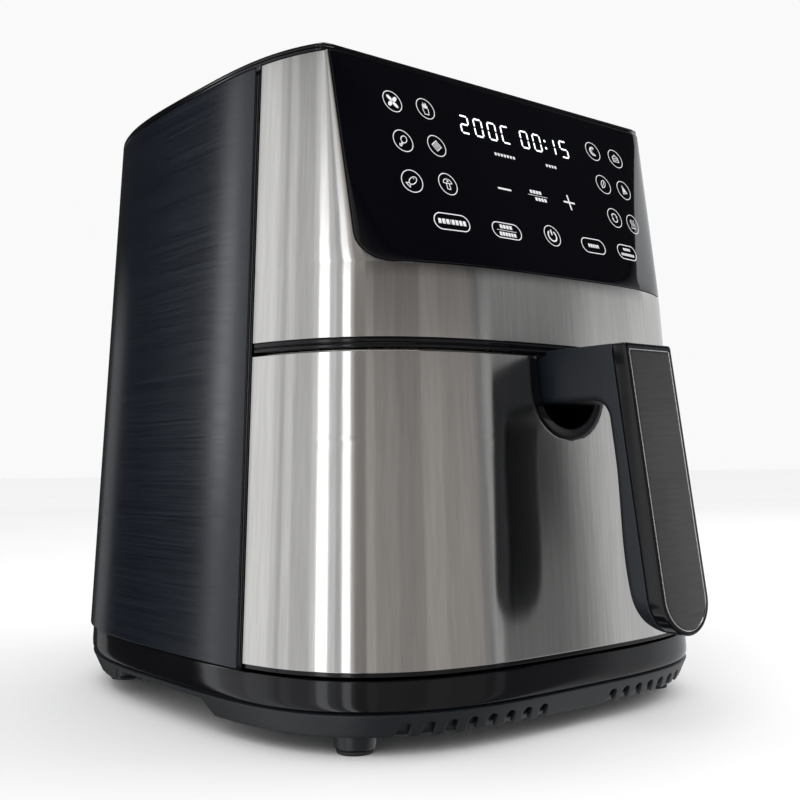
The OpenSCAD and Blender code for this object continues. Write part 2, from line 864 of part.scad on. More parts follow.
module handle_back() placed() color("slategray") {
    root = pocket_back - 0.05;
    arm_low = 158.5;
    fillet = 10;
    back = -181.5;
    split = front_half + 0.05;
    difference() {
        intersection() {
            along_x(2 * grip_half) polygon(concat(
                [[root, ceiling_z - 0.6], [-142.6, ceiling_z - 0.6], [-144, grip_top],
                 [face_y(grip_top) + split, grip_top], [face_y(grip_low) + split, grip_low],
                 [-199, 53.4], [-195.4, 57.5], [-191.6, 66], [-189, 76], [-187, 90], [-184.6, 128]],
                [for (a = [0 : 15 : 90])
                    [back + fillet - fillet * cos(a), arm_low - fillet + fillet * sin(a)]],
                [[root, arm_low]]
            ));
            union() {
                along_y(-240, -160) grip_outline();
                translate([-grip_half, -160, arm_low - 5]) cube([2 * grip_half, 60, 40]);
            }
        }
        for (x = [-7, 7])
            translate([x, -142, 170]) rotate([-90, 0, 0]) cylinder(r = 1.6, h = 30, $fn = 24);
    }
}

module handle_front() placed() color("black") {
    difference() {
        grip_layer(0, front_half);
        grip_layer(-1, 0.9, plate_in, 4);
    }
}

module handle_plate() placed() color("gray") {
    grip_layer(0.15, 0.85, plate_in + 0.7, 4.7);
}

module handle_plate_line() placed() color("white") {
    difference() {
        grip_layer(0.05, 0.85, plate_in + 0.05, 4.05);
        grip_layer(-1, 2, plate_in + 0.65, 4.65);
    }
}

module handle_screws() placed() color("silver") {
    for (x = [-7, 7]) translate([x, 0, 170]) rotate([90, 0, 0]) {
        translate([0, 0, 115.4]) cylinder(r = 3.6, h = 2.1, $fn = 24);
        translate([0, 0, 117]) cylinder(r = 1.6, h = 24, $fn = 24);
    }
}

module pot() placed() color("dimgray") {
    corner = 40;
    rim = 4;
    rim_t = 1.6;
    runner_d = 4.5;
    runner_h = 5;
    difference() {
        union() {
            round_box(pot_w, pot_d, corner, pot_z, pot_top);
            round_box(pot_w + 2 * rim, pot_d + 2 * rim, corner + rim, pot_top - rim_t, pot_top);
            for (side = [-1, 1])
                translate([side * (pot_w / 2 + runner_d / 2 - 0.5), 22, rail_z])
                    cube([runner_d + 1, 150, runner_h], center = true);
            translate([-6, pot_y + pot_d / 2 - 0.5, switch_z - 5])
                cube([12, plunger_y - clear - (pot_y + pot_d / 2) + 0.5, 10]);
        }
        round_box(pot_w - 2 * pot_wall, pot_d - 2 * pot_wall, corner - pot_wall, pot_z + pot_wall, 200);
    }
}

module pot_brackets() placed() color("silver") {
    for (x = [-62, 38]) translate([x, -117.5, 84]) cube([24, 5.4, 60]);
}

module crisper_plate() placed() color("dimgray") {
    z = 60;
    t = 1.2;
    hole_r = 3;
    pitch = 17;
    difference() {
        round_box(212, 206, 34, z, z + t);
        for (i = [-5 : 5], j = [-5 : 5])
            if (abs(i) + abs(j) < 9 && abs(i) + abs(j) > 1)
                translate([i * pitch, pot_y + j * pitch, z - 1]) cylinder(r = hole_r, h = 4, $fn = 24);
        for (x = [-1, 1], y = [-1, 1])
            translate([x * 84, pot_y + y * 81, z - 1]) cylinder(r = 2.5, h = 4, $fn = 24);
    }
    translate([0, pot_y, z + t - 0.1]) rotate([90, 0, 0]) rotate_extrude(angle = 180, $fn = 64)
        translate([13, 0]) circle(2, $fn = 24);
}

module plate_bumpers() placed() color("firebrick") {
    for (x = [-1, 1], y = [-1, 1]) translate([x * 84, pot_y + y * 81, 0]) {
        translate([0, 0, 48]) cylinder(r = 5, h = 11.9, $fn = 32);
        translate([0, 0, 59]) cylinder(r = 2.4, h = 3.5, $fn = 32);
        translate([0, 0, 61.3]) cylinder(r = 4, h = 2, $fn = 32);
    }
}

// ---------------------------------------------------------------- drawing

base_pan();
base_ring();
foot(0);  // foot_1
foot(1);  // foot_2
foot(2);  // foot_3
foot(3);  // foot_4
foot_pads();
base_screws();
wrap(-1);  // wrap_left
wrap(1);  // wrap_right
rear_panel();
trim_strip(-1);  // trim_left
trim_strip(1);  // trim_right
top_cover();
rear_grille();
grille_screws();
cord_gland();
gland_nut();
front_band();
mid_trim();
panel_glass();
panel_frame();
touch_board();
display_module();
cavity_liner();
front_collar();
rails();
ceiling_plate();
heater_dome();
insulation();
heater_coil();
heater_brackets();
fan_guard();
thermal_cutout();
temperature_probe();
motor_bracket();
motor_stator();
bearings();
motor_screws();
exhaust_duct();
board_tray();
power_board();
interlock_switch();
drawer_front();
drawer_skin();
inner_panel();
pocket_liner();
handle_back();
handle_front();
handle_plate();
handle_plate_line();
handle_screws();
pot();
pot_brackets();
crisper_plate();
plate_bumpers();
motor_shaft();
hot_fan();
cooling_fan();
switch_plunger();
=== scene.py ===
import json
import math
from functools import lru_cache

import bmesh
import bpy
import numpy as np
from mathutils import Matrix, Vector


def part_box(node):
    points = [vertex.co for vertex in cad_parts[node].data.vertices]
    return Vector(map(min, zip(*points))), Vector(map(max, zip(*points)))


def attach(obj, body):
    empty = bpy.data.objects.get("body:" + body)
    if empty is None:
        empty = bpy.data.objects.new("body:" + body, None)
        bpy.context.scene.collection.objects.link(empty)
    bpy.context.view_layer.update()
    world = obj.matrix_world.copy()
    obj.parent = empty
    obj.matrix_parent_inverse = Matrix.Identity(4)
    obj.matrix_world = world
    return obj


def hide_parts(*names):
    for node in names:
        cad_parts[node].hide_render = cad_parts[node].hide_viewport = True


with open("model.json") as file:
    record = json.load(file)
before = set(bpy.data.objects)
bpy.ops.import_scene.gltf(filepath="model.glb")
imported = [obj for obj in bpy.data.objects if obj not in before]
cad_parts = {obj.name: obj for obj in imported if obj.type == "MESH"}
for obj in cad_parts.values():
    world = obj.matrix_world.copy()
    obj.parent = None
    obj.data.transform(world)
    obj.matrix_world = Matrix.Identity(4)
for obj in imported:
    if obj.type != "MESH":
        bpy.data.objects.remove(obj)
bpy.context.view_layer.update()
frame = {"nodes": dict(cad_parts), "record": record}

MM = 0.001
SLOT_OF = {part["node"]: part["material_slot"] for part in frame["record"]["subparts"]}


def middle_of(node):
    """Middle of a CAD node's box at rest."""
    low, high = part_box(node)
    return [(a + b) / 2 for a, b in zip(low, high)]


# ---------------------------------------------------------------- camera

def make_camera():
    """A camera low in front of the fryer's left corner, turned a little upwards."""
    eye = (-0.4081, -0.5020, 0.1312)
    yaw, pitch, roll = 0.6847, 0.0567, -0.0119
    forward = Vector((math.sin(yaw) * math.cos(pitch), math.cos(yaw) * math.cos(pitch), math.sin(pitch)))
    level = Vector((math.cos(yaw), -math.sin(yaw), 0))
    upright = level.cross(forward)
    right = level * math.cos(roll) + upright * math.sin(roll)
    up = upright * math.cos(roll) - level * math.sin(roll)
    data = bpy.data.cameras.new("camera")
    data.sensor_width = 36
    data.lens = 49.05
    camera = bpy.data.objects.new("camera", data)
    bpy.context.scene.collection.objects.link(camera)
    turn = Matrix((right, up, -forward)).transposed().to_4x4()
    camera.matrix_world = Matrix.Translation(eye) @ turn
    bpy.context.scene.camera = camera


# ---------------------------------------------------------------- the body's outline

TAPER = 0.12 / 0.330          # narrowing of the plan outline per metre of height
FRONT_POWER = 3.4             # squareness of the front corners
REAR_POWER = 3.15             # squareness of the rear corners
WRAP_LOW, WRAP_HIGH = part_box("wrap_left")
COVER_LOW, COVER_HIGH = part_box("top_cover")
SKIN_LOW, SKIN_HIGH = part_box("drawer_skin")
GLASS_LOW, GLASS_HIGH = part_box("panel_glass")
BAND_LOW, BAND_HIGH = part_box("front_band")
TRIM_LOW, TRIM_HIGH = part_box("trim_left")
WALL_Z = WRAP_LOW.z
RIM_Z = WRAP_HIGH.z
BODY_H = RIM_Z + 4 * MM       # top edge of the cover's edge strip
PANEL_GAP = 0.4 * MM
PANEL_Z = GLASS_LOW.z - PANEL_GAP
EASE = 5 * MM                 # half height of the easy bend where the front starts to lean back


def scale_at(z):
    return 1 - TAPER * z


MIDDLE_Y = min((v.co for v in frame["nodes"]["wrap_left"].data.vertices), key=lambda co: co.x).y
HALF_W = -WRAP_LOW.x / scale_at(WALL_Z)
FRONT = (MIDDLE_Y - SKIN_LOW.y) / scale_at(SKIN_LOW.z)
REAR = (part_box("rear_panel")[1].y - MIDDLE_Y) / scale_at(WALL_Z)
RIDGE = MIDDLE_Y - COVER_LOW.y
POLAR = np.radians(np.linspace(-90, 90, 721))
TURN = np.concatenate(([POLAR[0] - 0.2], POLAR))


def plan_outline(inset):
    """Right half of the plan outline at the table, from the middle of the front to the middle of the rear."""
    power = np.where(POLAR < 0, FRONT_POWER, REAR_POWER)
    reach = np.where(POLAR < 0, FRONT, REAR) - inset
    across = np.clip(np.cos(POLAR), 0, None)
    along = np.sin(POLAR)
    radius = ((across / (HALF_W - inset)) ** power + (np.abs(along) / reach) ** power) ** (-1 / power)
    return radius * across, radius * along


@lru_cache(maxsize=None)
def section(z, inset=0.0):
    """Half outline at height z: x, y and length from the middle of the front.

    The front leans back over PANEL_Z, and the bend there is eased."""
    x, y = plan_outline(inset)
    if z <= PANEL_Z - EASE:
        x, y = x * scale_at(z), y * scale_at(z)
    else:
        lean = (z - PANEL_Z) / (BODY_H - PANEL_Z)
        if z < PANEL_Z + EASE:
            lean = (z - PANEL_Z + EASE) ** 2 / (4 * EASE * (BODY_H - PANEL_Z))
        top_x, top_y = x * scale_at(BODY_H), y * scale_at(BODY_H)
        ridge = inset - RIDGE
        corner = np.interp(ridge, top_y, top_x)
        top_x = np.where(top_y < ridge, corner, top_x)
        top_y = np.maximum(top_y, ridge)
        low = (1 - lean) * scale_at(min(z, PANEL_Z))
        x, y = low * x + lean * top_x, low * y + lean * top_y
    x = np.concatenate(([0.0], x))
    y = np.concatenate(([y[0]], y))
    steps = np.hypot(np.diff(x), np.diff(y))
    return x, y, np.concatenate(([0.0], np.cumsum(steps)))


def on_body(z, s, inset=0.0):
    """Point of the surface at height z, a length s round from the middle of the front, + to the right."""
    x, y, lengths = section(z, inset)
    along = abs(s)
    across = math.copysign(np.interp(along, lengths, x), s)
    return Vector((across, MIDDLE_Y + np.interp(along, lengths, y), z))


def at_turn(z, turn, side, inset=0.0):
    """Point of the surface at height z, at a turn about the upright axis, which doesn't change with inset."""
    x, y, _ = section(z, inset)
    return Vector((side * np.interp(turn, TURN, x), MIDDLE_Y + np.interp(turn, TURN, y), z))


def turns_between(z, start, end, count):
    """Turns at even lengths along the section between two lengths."""
    lengths = section(z)[2]
    return [float(np.interp(start + (end - start) * i / count, lengths, TURN)) for i in range(count + 1)]


def up_to_widest(xs):
    """Number of outline points from the middle of the front to the widest place."""
    return int(np.argmax(xs)) + 1


def length_at_x(z, x):
    """Length to the point of the front that is x to the side."""
    xs, _, lengths = section(z)
    count = up_to_widest(xs)
    return float(np.interp(x, xs[:count], lengths[:count]))


def length_at_y(z, y):
    """Length to the point of the side at y."""
    _, ys, lengths = section(z)
    return float(np.interp(y - MIDDLE_Y, ys, lengths))


def rear_length_at_x(z, x):
    """Length to the point of the rear that is x to the side."""
    xs, _, lengths = section(z)
    start = up_to_widest(xs) - 1
    return float(np.interp(-x, -xs[start:], lengths[start:]))


def front_y(x, z, inset=0.0):
    """y of the front's surface at x, z."""
    xs, ys, _ = section(z, inset)
    count = up_to_widest(xs)
    return MIDDLE_Y + float(np.interp(abs(x), xs[:count], ys[:count]))


def rear_y(x, z, inset=0.0):
    """y of the rear's surface at x, z."""
    k = scale_at(z)
    share = (abs(x) / (k * (HALF_W - inset))) ** REAR_POWER
    return MIDDLE_Y + k * (REAR - inset) * (1 - share) ** (1 / REAR_POWER)


def trim_y(z):
    """Middle of the upright trim strips at height z."""
    half = 2 * MM
    share = (z - WALL_Z) / (RIM_Z - WALL_Z)
    return (TRIM_LOW.y + half) * (1 - share) + (TRIM_HIGH.y - half) * share


TRIM_EDGE = 2.3 * MM          # from the middle of a trim strip to its neighbours


def front_edge(z):
    """Length at which the front's parts end, beside the trim strip."""
    return length_at_y(z, trim_y(z) - TRIM_EDGE)


def rear_edge(z):
    """Length at which the side wall starts, beside the trim strip."""
    return length_at_y(z, trim_y(z) + TRIM_EDGE)


# ---------------------------------------------------------------- mesh helpers

def spread(low, high, count):
    """Even steps from low to high, both included."""
    return [low + (high - low) * i / count for i in range(count + 1)]


def quads(bm, rows, closed=False):
    """Faces between neighbouring rows of vertices."""
    for lower, upper in zip(rows, rows[1:]):
        count = len(lower)
        for i in range(count if closed else count - 1):
            j = (i + 1) % count
            corners = [lower[i], lower[j], upper[j], upper[i]]
            if len(set(corners)) == 4:
                bm.faces.new(corners)


def rings(bm, loops, closed=True, cap_first=False, cap_last=False):
    """Skin over loops of points, each given as a list of Vectors."""
    rows = [[bm.verts.new(p) for p in loop] for loop in loops]
    quads(bm, rows, closed)
    if cap_first:
        bm.faces.new(list(reversed(rows[0])))
    if cap_last:
        bm.faces.new(rows[-1])
    return rows


def sheet(bm, heights, left, right, count, inset=0.0):
    """A stretch of the body's surface between two edges that may change with height."""
    rows = []
    for z in heights:
        a, b = left(z), right(z)
        rows.append([bm.verts.new(on_body(z, a + (b - a) * i / count, inset)) for i in range(count + 1)])
    quads(bm, rows)


def revolve(bm, centre, profile, segments=64):
    """Solid turned about an upright axis, from (radius, height) points."""
    turns = spread(0, 2 * math.pi, segments)[:-1]
    loops = []
    for radius, height in profile:
        loops.append([Vector((radius * math.cos(a), radius * math.sin(a), height)) + centre for a in turns])
    rings(bm, loops, cap_first=True, cap_last=True)


def tidy(bm):
    """Joins doubled points and removes faces without area."""
    bmesh.ops.remove_doubles(bm, verts=bm.verts, dist=1e-6)
    bmesh.ops.dissolve_degenerate(bm, edges=bm.edges, dist=1e-7)


def finish_modifiers(obj, bevel, segments, angle, weighted=True):
    """Rounds the edges that are sharper than the angle, and keeps flat faces evenly shaded."""
    if bevel:
        rounding = obj.modifiers.new("bevel", "BEVEL")
        rounding.width = bevel
        rounding.segments = segments
        rounding.limit_method = "ANGLE"
        rounding.angle_limit = math.radians(angle)
        rounding.miter_outer = "MITER_ARC"
    if weighted:
        normals = obj.modifiers.new("normals", "WEIGHTED_NORMAL")
        normals.weight = 60
        normals.keep_sharp = True


def piece(name, bm, slot, body, *nodes, thickness=0.0, bevel=0.0, segments=2, angle=40, outward=False,
          flat=False):
    """Makes the mesh a piece of the object, with its finish, the body that it rides on and the CAD nodes that
    it stands for. outward turns the faces of a closed mesh out, and flat keeps large flat faces even."""
    tidy(bm)
    if outward:
        bmesh.ops.recalc_face_normals(bm, faces=bm.faces)
    mesh = bpy.data.meshes.new(name)
    bm.to_mesh(mesh)
    bm.free()
    mesh.polygons.foreach_set("use_smooth", [True] * len(mesh.polygons))
    mesh.materials.append(finish_of(slot))
    obj = bpy.data.objects.new(name, mesh)
    bpy.context.scene.collection.objects.link(obj)
    if thickness:
        solid = obj.modifiers.new("thickness", "SOLIDIFY")
        solid.thickness = thickness
        solid.offset = -1
    finish_modifiers(obj, bevel, segments, angle, weighted=flat or bevel > 0)
    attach(obj, body)
    if nodes:
        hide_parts(*nodes)
    return obj


# ---------------------------------------------------------------- materials

class Finish:
    """A Principled material whose colour, roughness and bump come from nodes in object coordinates."""

    def __init__(self, name, **sockets):
        self.material = bpy.data.materials.new(name)
        self.material.use_nodes = True
        self.tree = self.material.node_tree
        self.shader = next(n for n in self.tree.nodes if n.type == "BSDF_PRINCIPLED")
        self.place = self.tree.nodes.new("ShaderNodeTexCoord").outputs["Object"]
        for socket, value in sockets.items():
            self.shader.inputs[socket.replace("_", " ")].default_value = value

    def add(self, kind, **sockets):
        """A new node with its inputs set."""
        node = self.tree.nodes.new(kind)
        for socket, value in sockets.items():
            node.inputs[socket.replace("_", " ")].default_value = value
        return node

    def noise(self, scale, detail=3.0, rough=0.5):
        """Noise whose features are 1 / scale metres along each axis."""
        mapping = self.add("ShaderNodeMapping", Scale=scale)
        self.tree.links.new(self.place, mapping.inputs["Vector"])
        noise = self.add("ShaderNodeTexNoise", Scale=1.0, Detail=detail, Roughness=rough)
        self.tree.links.new(mapping.outputs["Vector"], noise.inputs["Vector"])
        return noise.outputs["Fac"]

    def range(self, value, low, high):
        """Spreads the middle of the noise, where nearly all of it lies, from low to high."""
        node = self.add("ShaderNodeMapRange", From_Min=0.3, From_Max=0.7, To_Min=low, To_Max=high)
        self.tree.links.new(value, node.inputs["Value"])
        return node.outputs["Result"]

    def colour(self, value, first, second):
        node = self.tree.nodes.new("ShaderNodeMix")
        node.data_type = "RGBA"
        node.inputs["A"].default_value = (*first, 1)
        node.inputs["B"].default_value = (*second, 1)
        self.tree.links.new(self.range(value, 0, 1), node.inputs["Factor"])
        self.tree.links.new(node.outputs["Result"], self.shader.inputs["Base Color"])

    def roughness(self, value, low, high):
        self.tree.links.new(self.range(value, low, high), self.shader.inputs["Roughness"])

    def bump(self, value, distance):
        node = self.add("ShaderNodeBump", Strength=1.0, Distance=distance)
        self.tree.links.new(value, node.inputs["Height"])
        self.tree.links.new(node.outputs["Normal"], self.shader.inputs["Normal"])


def brushed_steel(name):
    """Stainless sheet with fine upright streaks; what it mirrors smears upwards and downwards."""
    finish = Finish(name, Metallic=1.0, Anisotropic=0.9, Anisotropic_Rotation=0.25)
    streaks = finish.noise((420, 420, 2.5), detail=5, rough=0.6)
    finish.colour(streaks, (0.57, 0.555, 0.54), (0.66, 0.645, 0.63))
    finish.roughness(finish.noise((9, 9, 6), detail=2), 0.12, 0.17)
    finish.bump(streaks, 0.000006)
    return finish.material


def dark_wrap(name):
    """Blue-black coated sheet with level hairlines."""
    finish = Finish(name)
    grain = finish.noise((12, 12, 1500), detail=3, rough=0.6)
    finish.colour(grain, (0.0022, 0.0040, 0.0085), (0.0056, 0.0090, 0.0160))
    finish.roughness(grain, 0.15, 0.23)
    finish.bump(grain, 0.00005)
    return finish.material


def dark_plate(name):
    """Dark anodised face plate with a fine level grain."""
    finish = Finish(name, Metallic=1.0, Anisotropic=0.5, Anisotropic_Rotation=0.25)
    grain = finish.noise((60, 60, 1100), detail=3, rough=0.5)
    finish.colour(grain, (0.150, 0.146, 0.146), (0.175, 0.170, 0.170))
    finish.roughness(finish.noise((30, 30, 60)), 0.34, 0.40)
    finish.bump(grain, 0.000004)
    return finish.material


def moulded(name, dark, light, rough, grain=2600, depth=0.00001, level=0.5):
    """Moulded plastic: an even colour with slight clouding and a fine surface texture."""
    finish = Finish(name, Specular_IOR_Level=level)
    cloud = finish.noise((14, 14, 14), detail=3)
    fine = finish.noise((grain, grain, grain), detail=2)
    finish.colour(cloud, dark, light)
    finish.roughness(cloud, *rough)
    finish.bump(fine, depth)
    return finish.material


def plain_metal(name, dark, light, rough, scale=(300, 300, 60)):
    """Bare or plated metal with rolling marks."""
    finish = Finish(name, Metallic=1.0)
    grain = finish.noise(scale, detail=4)
    finish.colour(grain, dark, light)
    finish.roughness(finish.noise((20, 20, 20)), *rough)
    finish.bump(grain, 0.00001)
    return finish.material


def lit(name, colour, strength):
    """Print or segments that glow behind the glass."""
    finish = Finish(name, Roughness=0.5, Emission_Color=(*colour, 1), Emission_Strength=strength)
    finish.colour(finish.noise((400, 400, 400), detail=1), colour, [0.92 * c for c in colour])
    return finish.material


# What makes each slot's material, and its values
FINISHES = {
    "steel": (brushed_steel,),
    "dark_wrap": (dark_wrap,),
    "plate_metal": (dark_plate,),
    "black_base": (moulded, (0.005, 0.007, 0.010), (0.009, 0.012, 0.016), (0.34, 0.44), 1100, 0.00003),
    "gloss_black": (moulded, (0.002, 0.002, 0.003), (0.003, 0.003, 0.004), (0.07, 0.13), 300, 0.000002, 0.38),
    "panel_black": (moulded, (0.001, 0.001, 0.002), (0.0015, 0.0015, 0.003), (0.03, 0.06), 200, 0.000001),
    "rubber_black": (moulded, (0.012, 0.012, 0.013), (0.022, 0.022, 0.023), (0.62, 0.75), 2400, 0.00004),
    "rubber_red": (moulded, (0.30, 0.03, 0.02), (0.38, 0.05, 0.03), (0.5, 0.6), 1500, 0.00002),
    "handle_matte": (moulded, (0.006, 0.009, 0.014), (0.010, 0.014, 0.020), (0.40, 0.50), 1100, 0.00003),
    "pot_coat": (moulded, (0.014, 0.014, 0.015), (0.026, 0.026, 0.027), (0.34, 0.46), 1400, 0.00004),
    "inner_plastic": (moulded, (0.030, 0.030, 0.032), (0.045, 0.045, 0.047), (0.45, 0.58)),
    "pcb": (moulded, (0.008, 0.09, 0.035), (0.015, 0.14, 0.055), (0.3, 0.4), 900, 0.00003),
    "blanket": (moulded, (0.55, 0.50, 0.33), (0.72, 0.67, 0.48), (0.85, 0.95), 700, 0.0006),
    "fan_plastic": (moulded, (0.62, 0.61, 0.57), (0.70, 0.69, 0.65), (0.45, 0.55)),
    "switch_white": (moulded, (0.68, 0.68, 0.66), (0.76, 0.76, 0.74), (0.4, 0.5)),
    "chrome_line": (plain_metal, (0.80, 0.80, 0.81), (0.90, 0.90, 0.90), (0.08, 0.14)),
    "zinc": (plain_metal, (0.50, 0.50, 0.51), (0.66, 0.66, 0.67), (0.28, 0.40)),
    "sheet_metal": (plain_metal, (0.48, 0.48, 0.48), (0.64, 0.64, 0.63), (0.30, 0.45), (90, 90, 30)),
    "heater": (plain_metal, (0.10, 0.09, 0.085), (0.22, 0.20, 0.18), (0.40, 0.58), (120, 120, 120)),
    "brass": (plain_metal, (0.55, 0.38, 0.14), (0.68, 0.50, 0.22), (0.22, 0.34), (60, 60, 900)),
    "motor_iron": (plain_metal, (0.20, 0.20, 0.21), (0.34, 0.34, 0.35), (0.34, 0.46), (60, 60, 2000)),
    "fan_alu": (plain_metal, (0.62, 0.62, 0.63), (0.74, 0.74, 0.75), (0.26, 0.38)),
    "key_print": (lit, (0.72, 0.72, 0.74), 0.1),
    "digits": (lit, (0.95, 0.97, 1.0), 1.0),
}


@lru_cache(maxsize=None)
def finish_of(slot):
    """The slot's material, made when it is first asked for."""
    maker, *values = FINISHES[slot]
    return maker(slot, *values)


# ---------------------------------------------------------------- casing

def make_wrap(side, name):
    """Side wall from the trim strip to the rear panel."""
    rear_gap = min(abs(corner.x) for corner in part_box(name))
    heights = spread(WALL_Z, RIM_Z, 36)

    def rear_end(z):
        return rear_length_at_x(z, rear_gap)

    bm = bmesh.new()
    if side > 0:
        sheet(bm, heights, rear_edge, rear_end, 72)
    else:
        sheet(bm, heights, lambda z: -rear_end(z), lambda z: -rear_edge(z), 72)
    piece(name, bm, "dark_wrap", "housing", name, thickness=2.4 * MM, bevel=0.6 * MM, segments=3)


def rear_lattice(bm, columns, heights, skip, inset=0.0):
    """Part of the rear surface on a lattice, without the cells that skip(x, z) names."""
    verts = {}
    for x in columns:
        for z in heights:
            verts[x, z] = bm.verts.new((x, rear_y(x, z, inset), z))
    for x0, x1 in zip(columns, columns[1:]):
        for z0, z1 in zip(heights, heights[1:]):
            if not skip((x0 + x1) / 2, (z0 + z1) / 2):
                bm.faces.new([verts[x1, z0], verts[x0, z0], verts[x0, z1], verts[x1, z1]])
    bmesh.ops.delete(bm, geom=[v for v in bm.verts if not v.link_faces], context="VERTS")


def between(low, high, edges):
    """Lattice lines at the given edges, with more lines between them about 8 mm apart."""
    stops = sorted({low, high, *edges})
    lines = [stops[0]]
    for a, b in zip(stops, stops[1:]):
        count = max(1, round((b - a) / (8 * MM)))
        lines += spread(a, b, count)[1:]
    return lines


def make_rear_panel():
    """Rear wall with a window for the grille and a hole for the cord."""
    low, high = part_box("rear_panel")
    window_low, window_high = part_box("rear_grille")
    gap = 0.3 * MM
    hole = 7 * MM
    inlet_z = middle_of("gland_nut")[2]
    half = window_high.x + gap
    bottom, top = window_low.z - gap, window_high.z + gap
    columns = between(low.x, high.x, [-half, -hole, hole, half])
    heights = between(WALL_Z, RIM_Z, [inlet_z - hole, inlet_z + hole, bottom, top])

    def skip(x, z):
        window = abs(x) < half and bottom < z < top
        inlet = abs(x) < hole and abs(z - inlet_z) < hole
        return window or inlet

    bm = bmesh.new()
    rear_lattice(bm, columns, heights, skip)
    piece("rear_panel", bm, "black_base", "housing", "rear_panel", thickness=2.4 * MM, bevel=0.5 * MM,
          segments=3)


def make_rear_grille():
    """Frame with eight rows of slots, two to a row."""
    low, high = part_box("rear_grille")
    bars, pitch, first = 8, 9 * MM, low.z + 7.5 * MM
    slot_h, slot_in, slot_out = 5 * MM, 6 * MM, 45 * MM
    slots = [first + i * pitch for i in range(bars)]
    columns = between(low.x, high.x, [-slot_out, -slot_in, slot_in, slot_out])
    heights = between(low.z, high.z, [z + d for z in slots for d in (-slot_h / 2, slot_h / 2)])

    def skip(x, z):
        return slot_in < abs(x) < slot_out and any(abs(z - s) < slot_h / 2 for s in slots)

    bm = bmesh.new()
    rear_lattice(bm, columns, heights, skip, -0.2 * MM)
    piece("rear_grille", bm, "black_base", "housing", "rear_grille", thickness=2.6 * MM, bevel=0.7 * MM,
          segments=3)


def make_trim(side, name):
    """Upright strip between the side wall and the front, crowned, with a groove along each edge."""
    half = [(-2.27, -3.2), (-2.27, -0.7), (-2.0, -0.6), (-1.85, 0.1), (-1.5, 0.3), (-1.1, 0.3), (-0.95, -0.1),
            (-0.75, -0.1), (-0.6, 0.2)]
    profile = half + [(0.0, 0.28)] + [(-along, out) for along, out in reversed(half)]
    loops = []
    for z in spread(WALL_Z, RIM_Z, 60):
        middle = length_at_y(z, trim_y(z))
        loops.append([on_body(z, side * (middle + along * MM), -out * MM) for along, out in profile])
    bm = bmesh.new()
    rings(bm, loops, cap_first=True, cap_last=True)
    piece(name, bm, "gloss_black", "housing", name, outward=True)


def ring_turns(z, count):
    """Stations once round the body: the right half from the front, then the left half back to it."""
    lengths = section(z)[2]
    turns = turns_between(z, 0, lengths[-1], count)
    return [(t, 1) for t in turns] + [(t, -1) for t in reversed(turns[1:-1])]


def round_body(bm, profile, stations, **caps):
    """Skin round the whole body through (height, inset) points."""
    loops = [[at_turn(z, turn, side, inset) for turn, side in stations] for z, inset in profile]
    return rings(bm, loops, **caps)


def make_top_cover():
    """Edge strip of the cover with a bevel, and the shallow mound over it."""
    edge = [(0.0, 3.4), (0.0, 0.7), (0.25, 0.25), (0.7, 0.0), (1.9, 0.0), (2.15, 0.35), (2.4, 0.05),
            (3.2, 0.1)]
    profile = [(RIM_Z + up * MM, inset * MM) for up, inset in edge]
    profile += [(BODY_H - 0.2 * MM, 0.5 * MM), (BODY_H, 1.2 * MM), (BODY_H, 2.6 * MM)]
    bm = bmesh.new()
    rows = round_body(bm, profile, ring_turns(BODY_H, 110))

    middle = Vector((0, MIDDLE_Y + 35 * MM, 0))
    rise = COVER_HIGH.z - BODY_H
    steps, reach = 14, 0.19
    loops = [[v.co.copy() for v in rows[-1]]]
    for i in range(1, steps + 1):
        loop = [p + (middle - p) * (reach * i / steps) for p in loops[0]]
        for p in loop:
            p.z = BODY_H + rise * math.sin(math.pi / 2 * (i / steps))
        loops.append(loop)
    rings(bm, loops, cap_last=True)
    piece("top_cover", bm, "gloss_black", "housing", "top_cover")


# Outline of the control panel seen from the front: round lower corners, and sides that spread upwards
PANEL_HALF = GLASS_HIGH.x + PANEL_GAP
PANEL_CORNER = 14 * MM
PANEL_WIDENING = 4 * MM
GLASS_PROUD = 0.1 * MM


def panel_half(z, inset=0.0):
    """Half of the panel's width at height z, drawn in by inset."""
    narrow = PANEL_HALF - inset - PANEL_WIDENING
    centre_z = PANEL_Z + inset + PANEL_CORNER
    if z >= centre_z:
        return narrow + PANEL_WIDENING * (z - centre_z) / (BODY_H + 5 * MM - centre_z)
    drop = min(PANEL_CORNER, centre_z - z)
    return narrow - PANEL_CORNER + math.sqrt(PANEL_CORNER ** 2 - drop ** 2)


def panel_heights(inset, top):
    """Heights that follow the round corner and then run evenly to the top."""
    centre_z = PANEL_Z + inset + PANEL_CORNER
    corner = [centre_z - PANEL_CORNER * math.cos(math.radians(a)) for a in range(0, 90, 15)]
    return corner + spread(centre_z, top, 18)


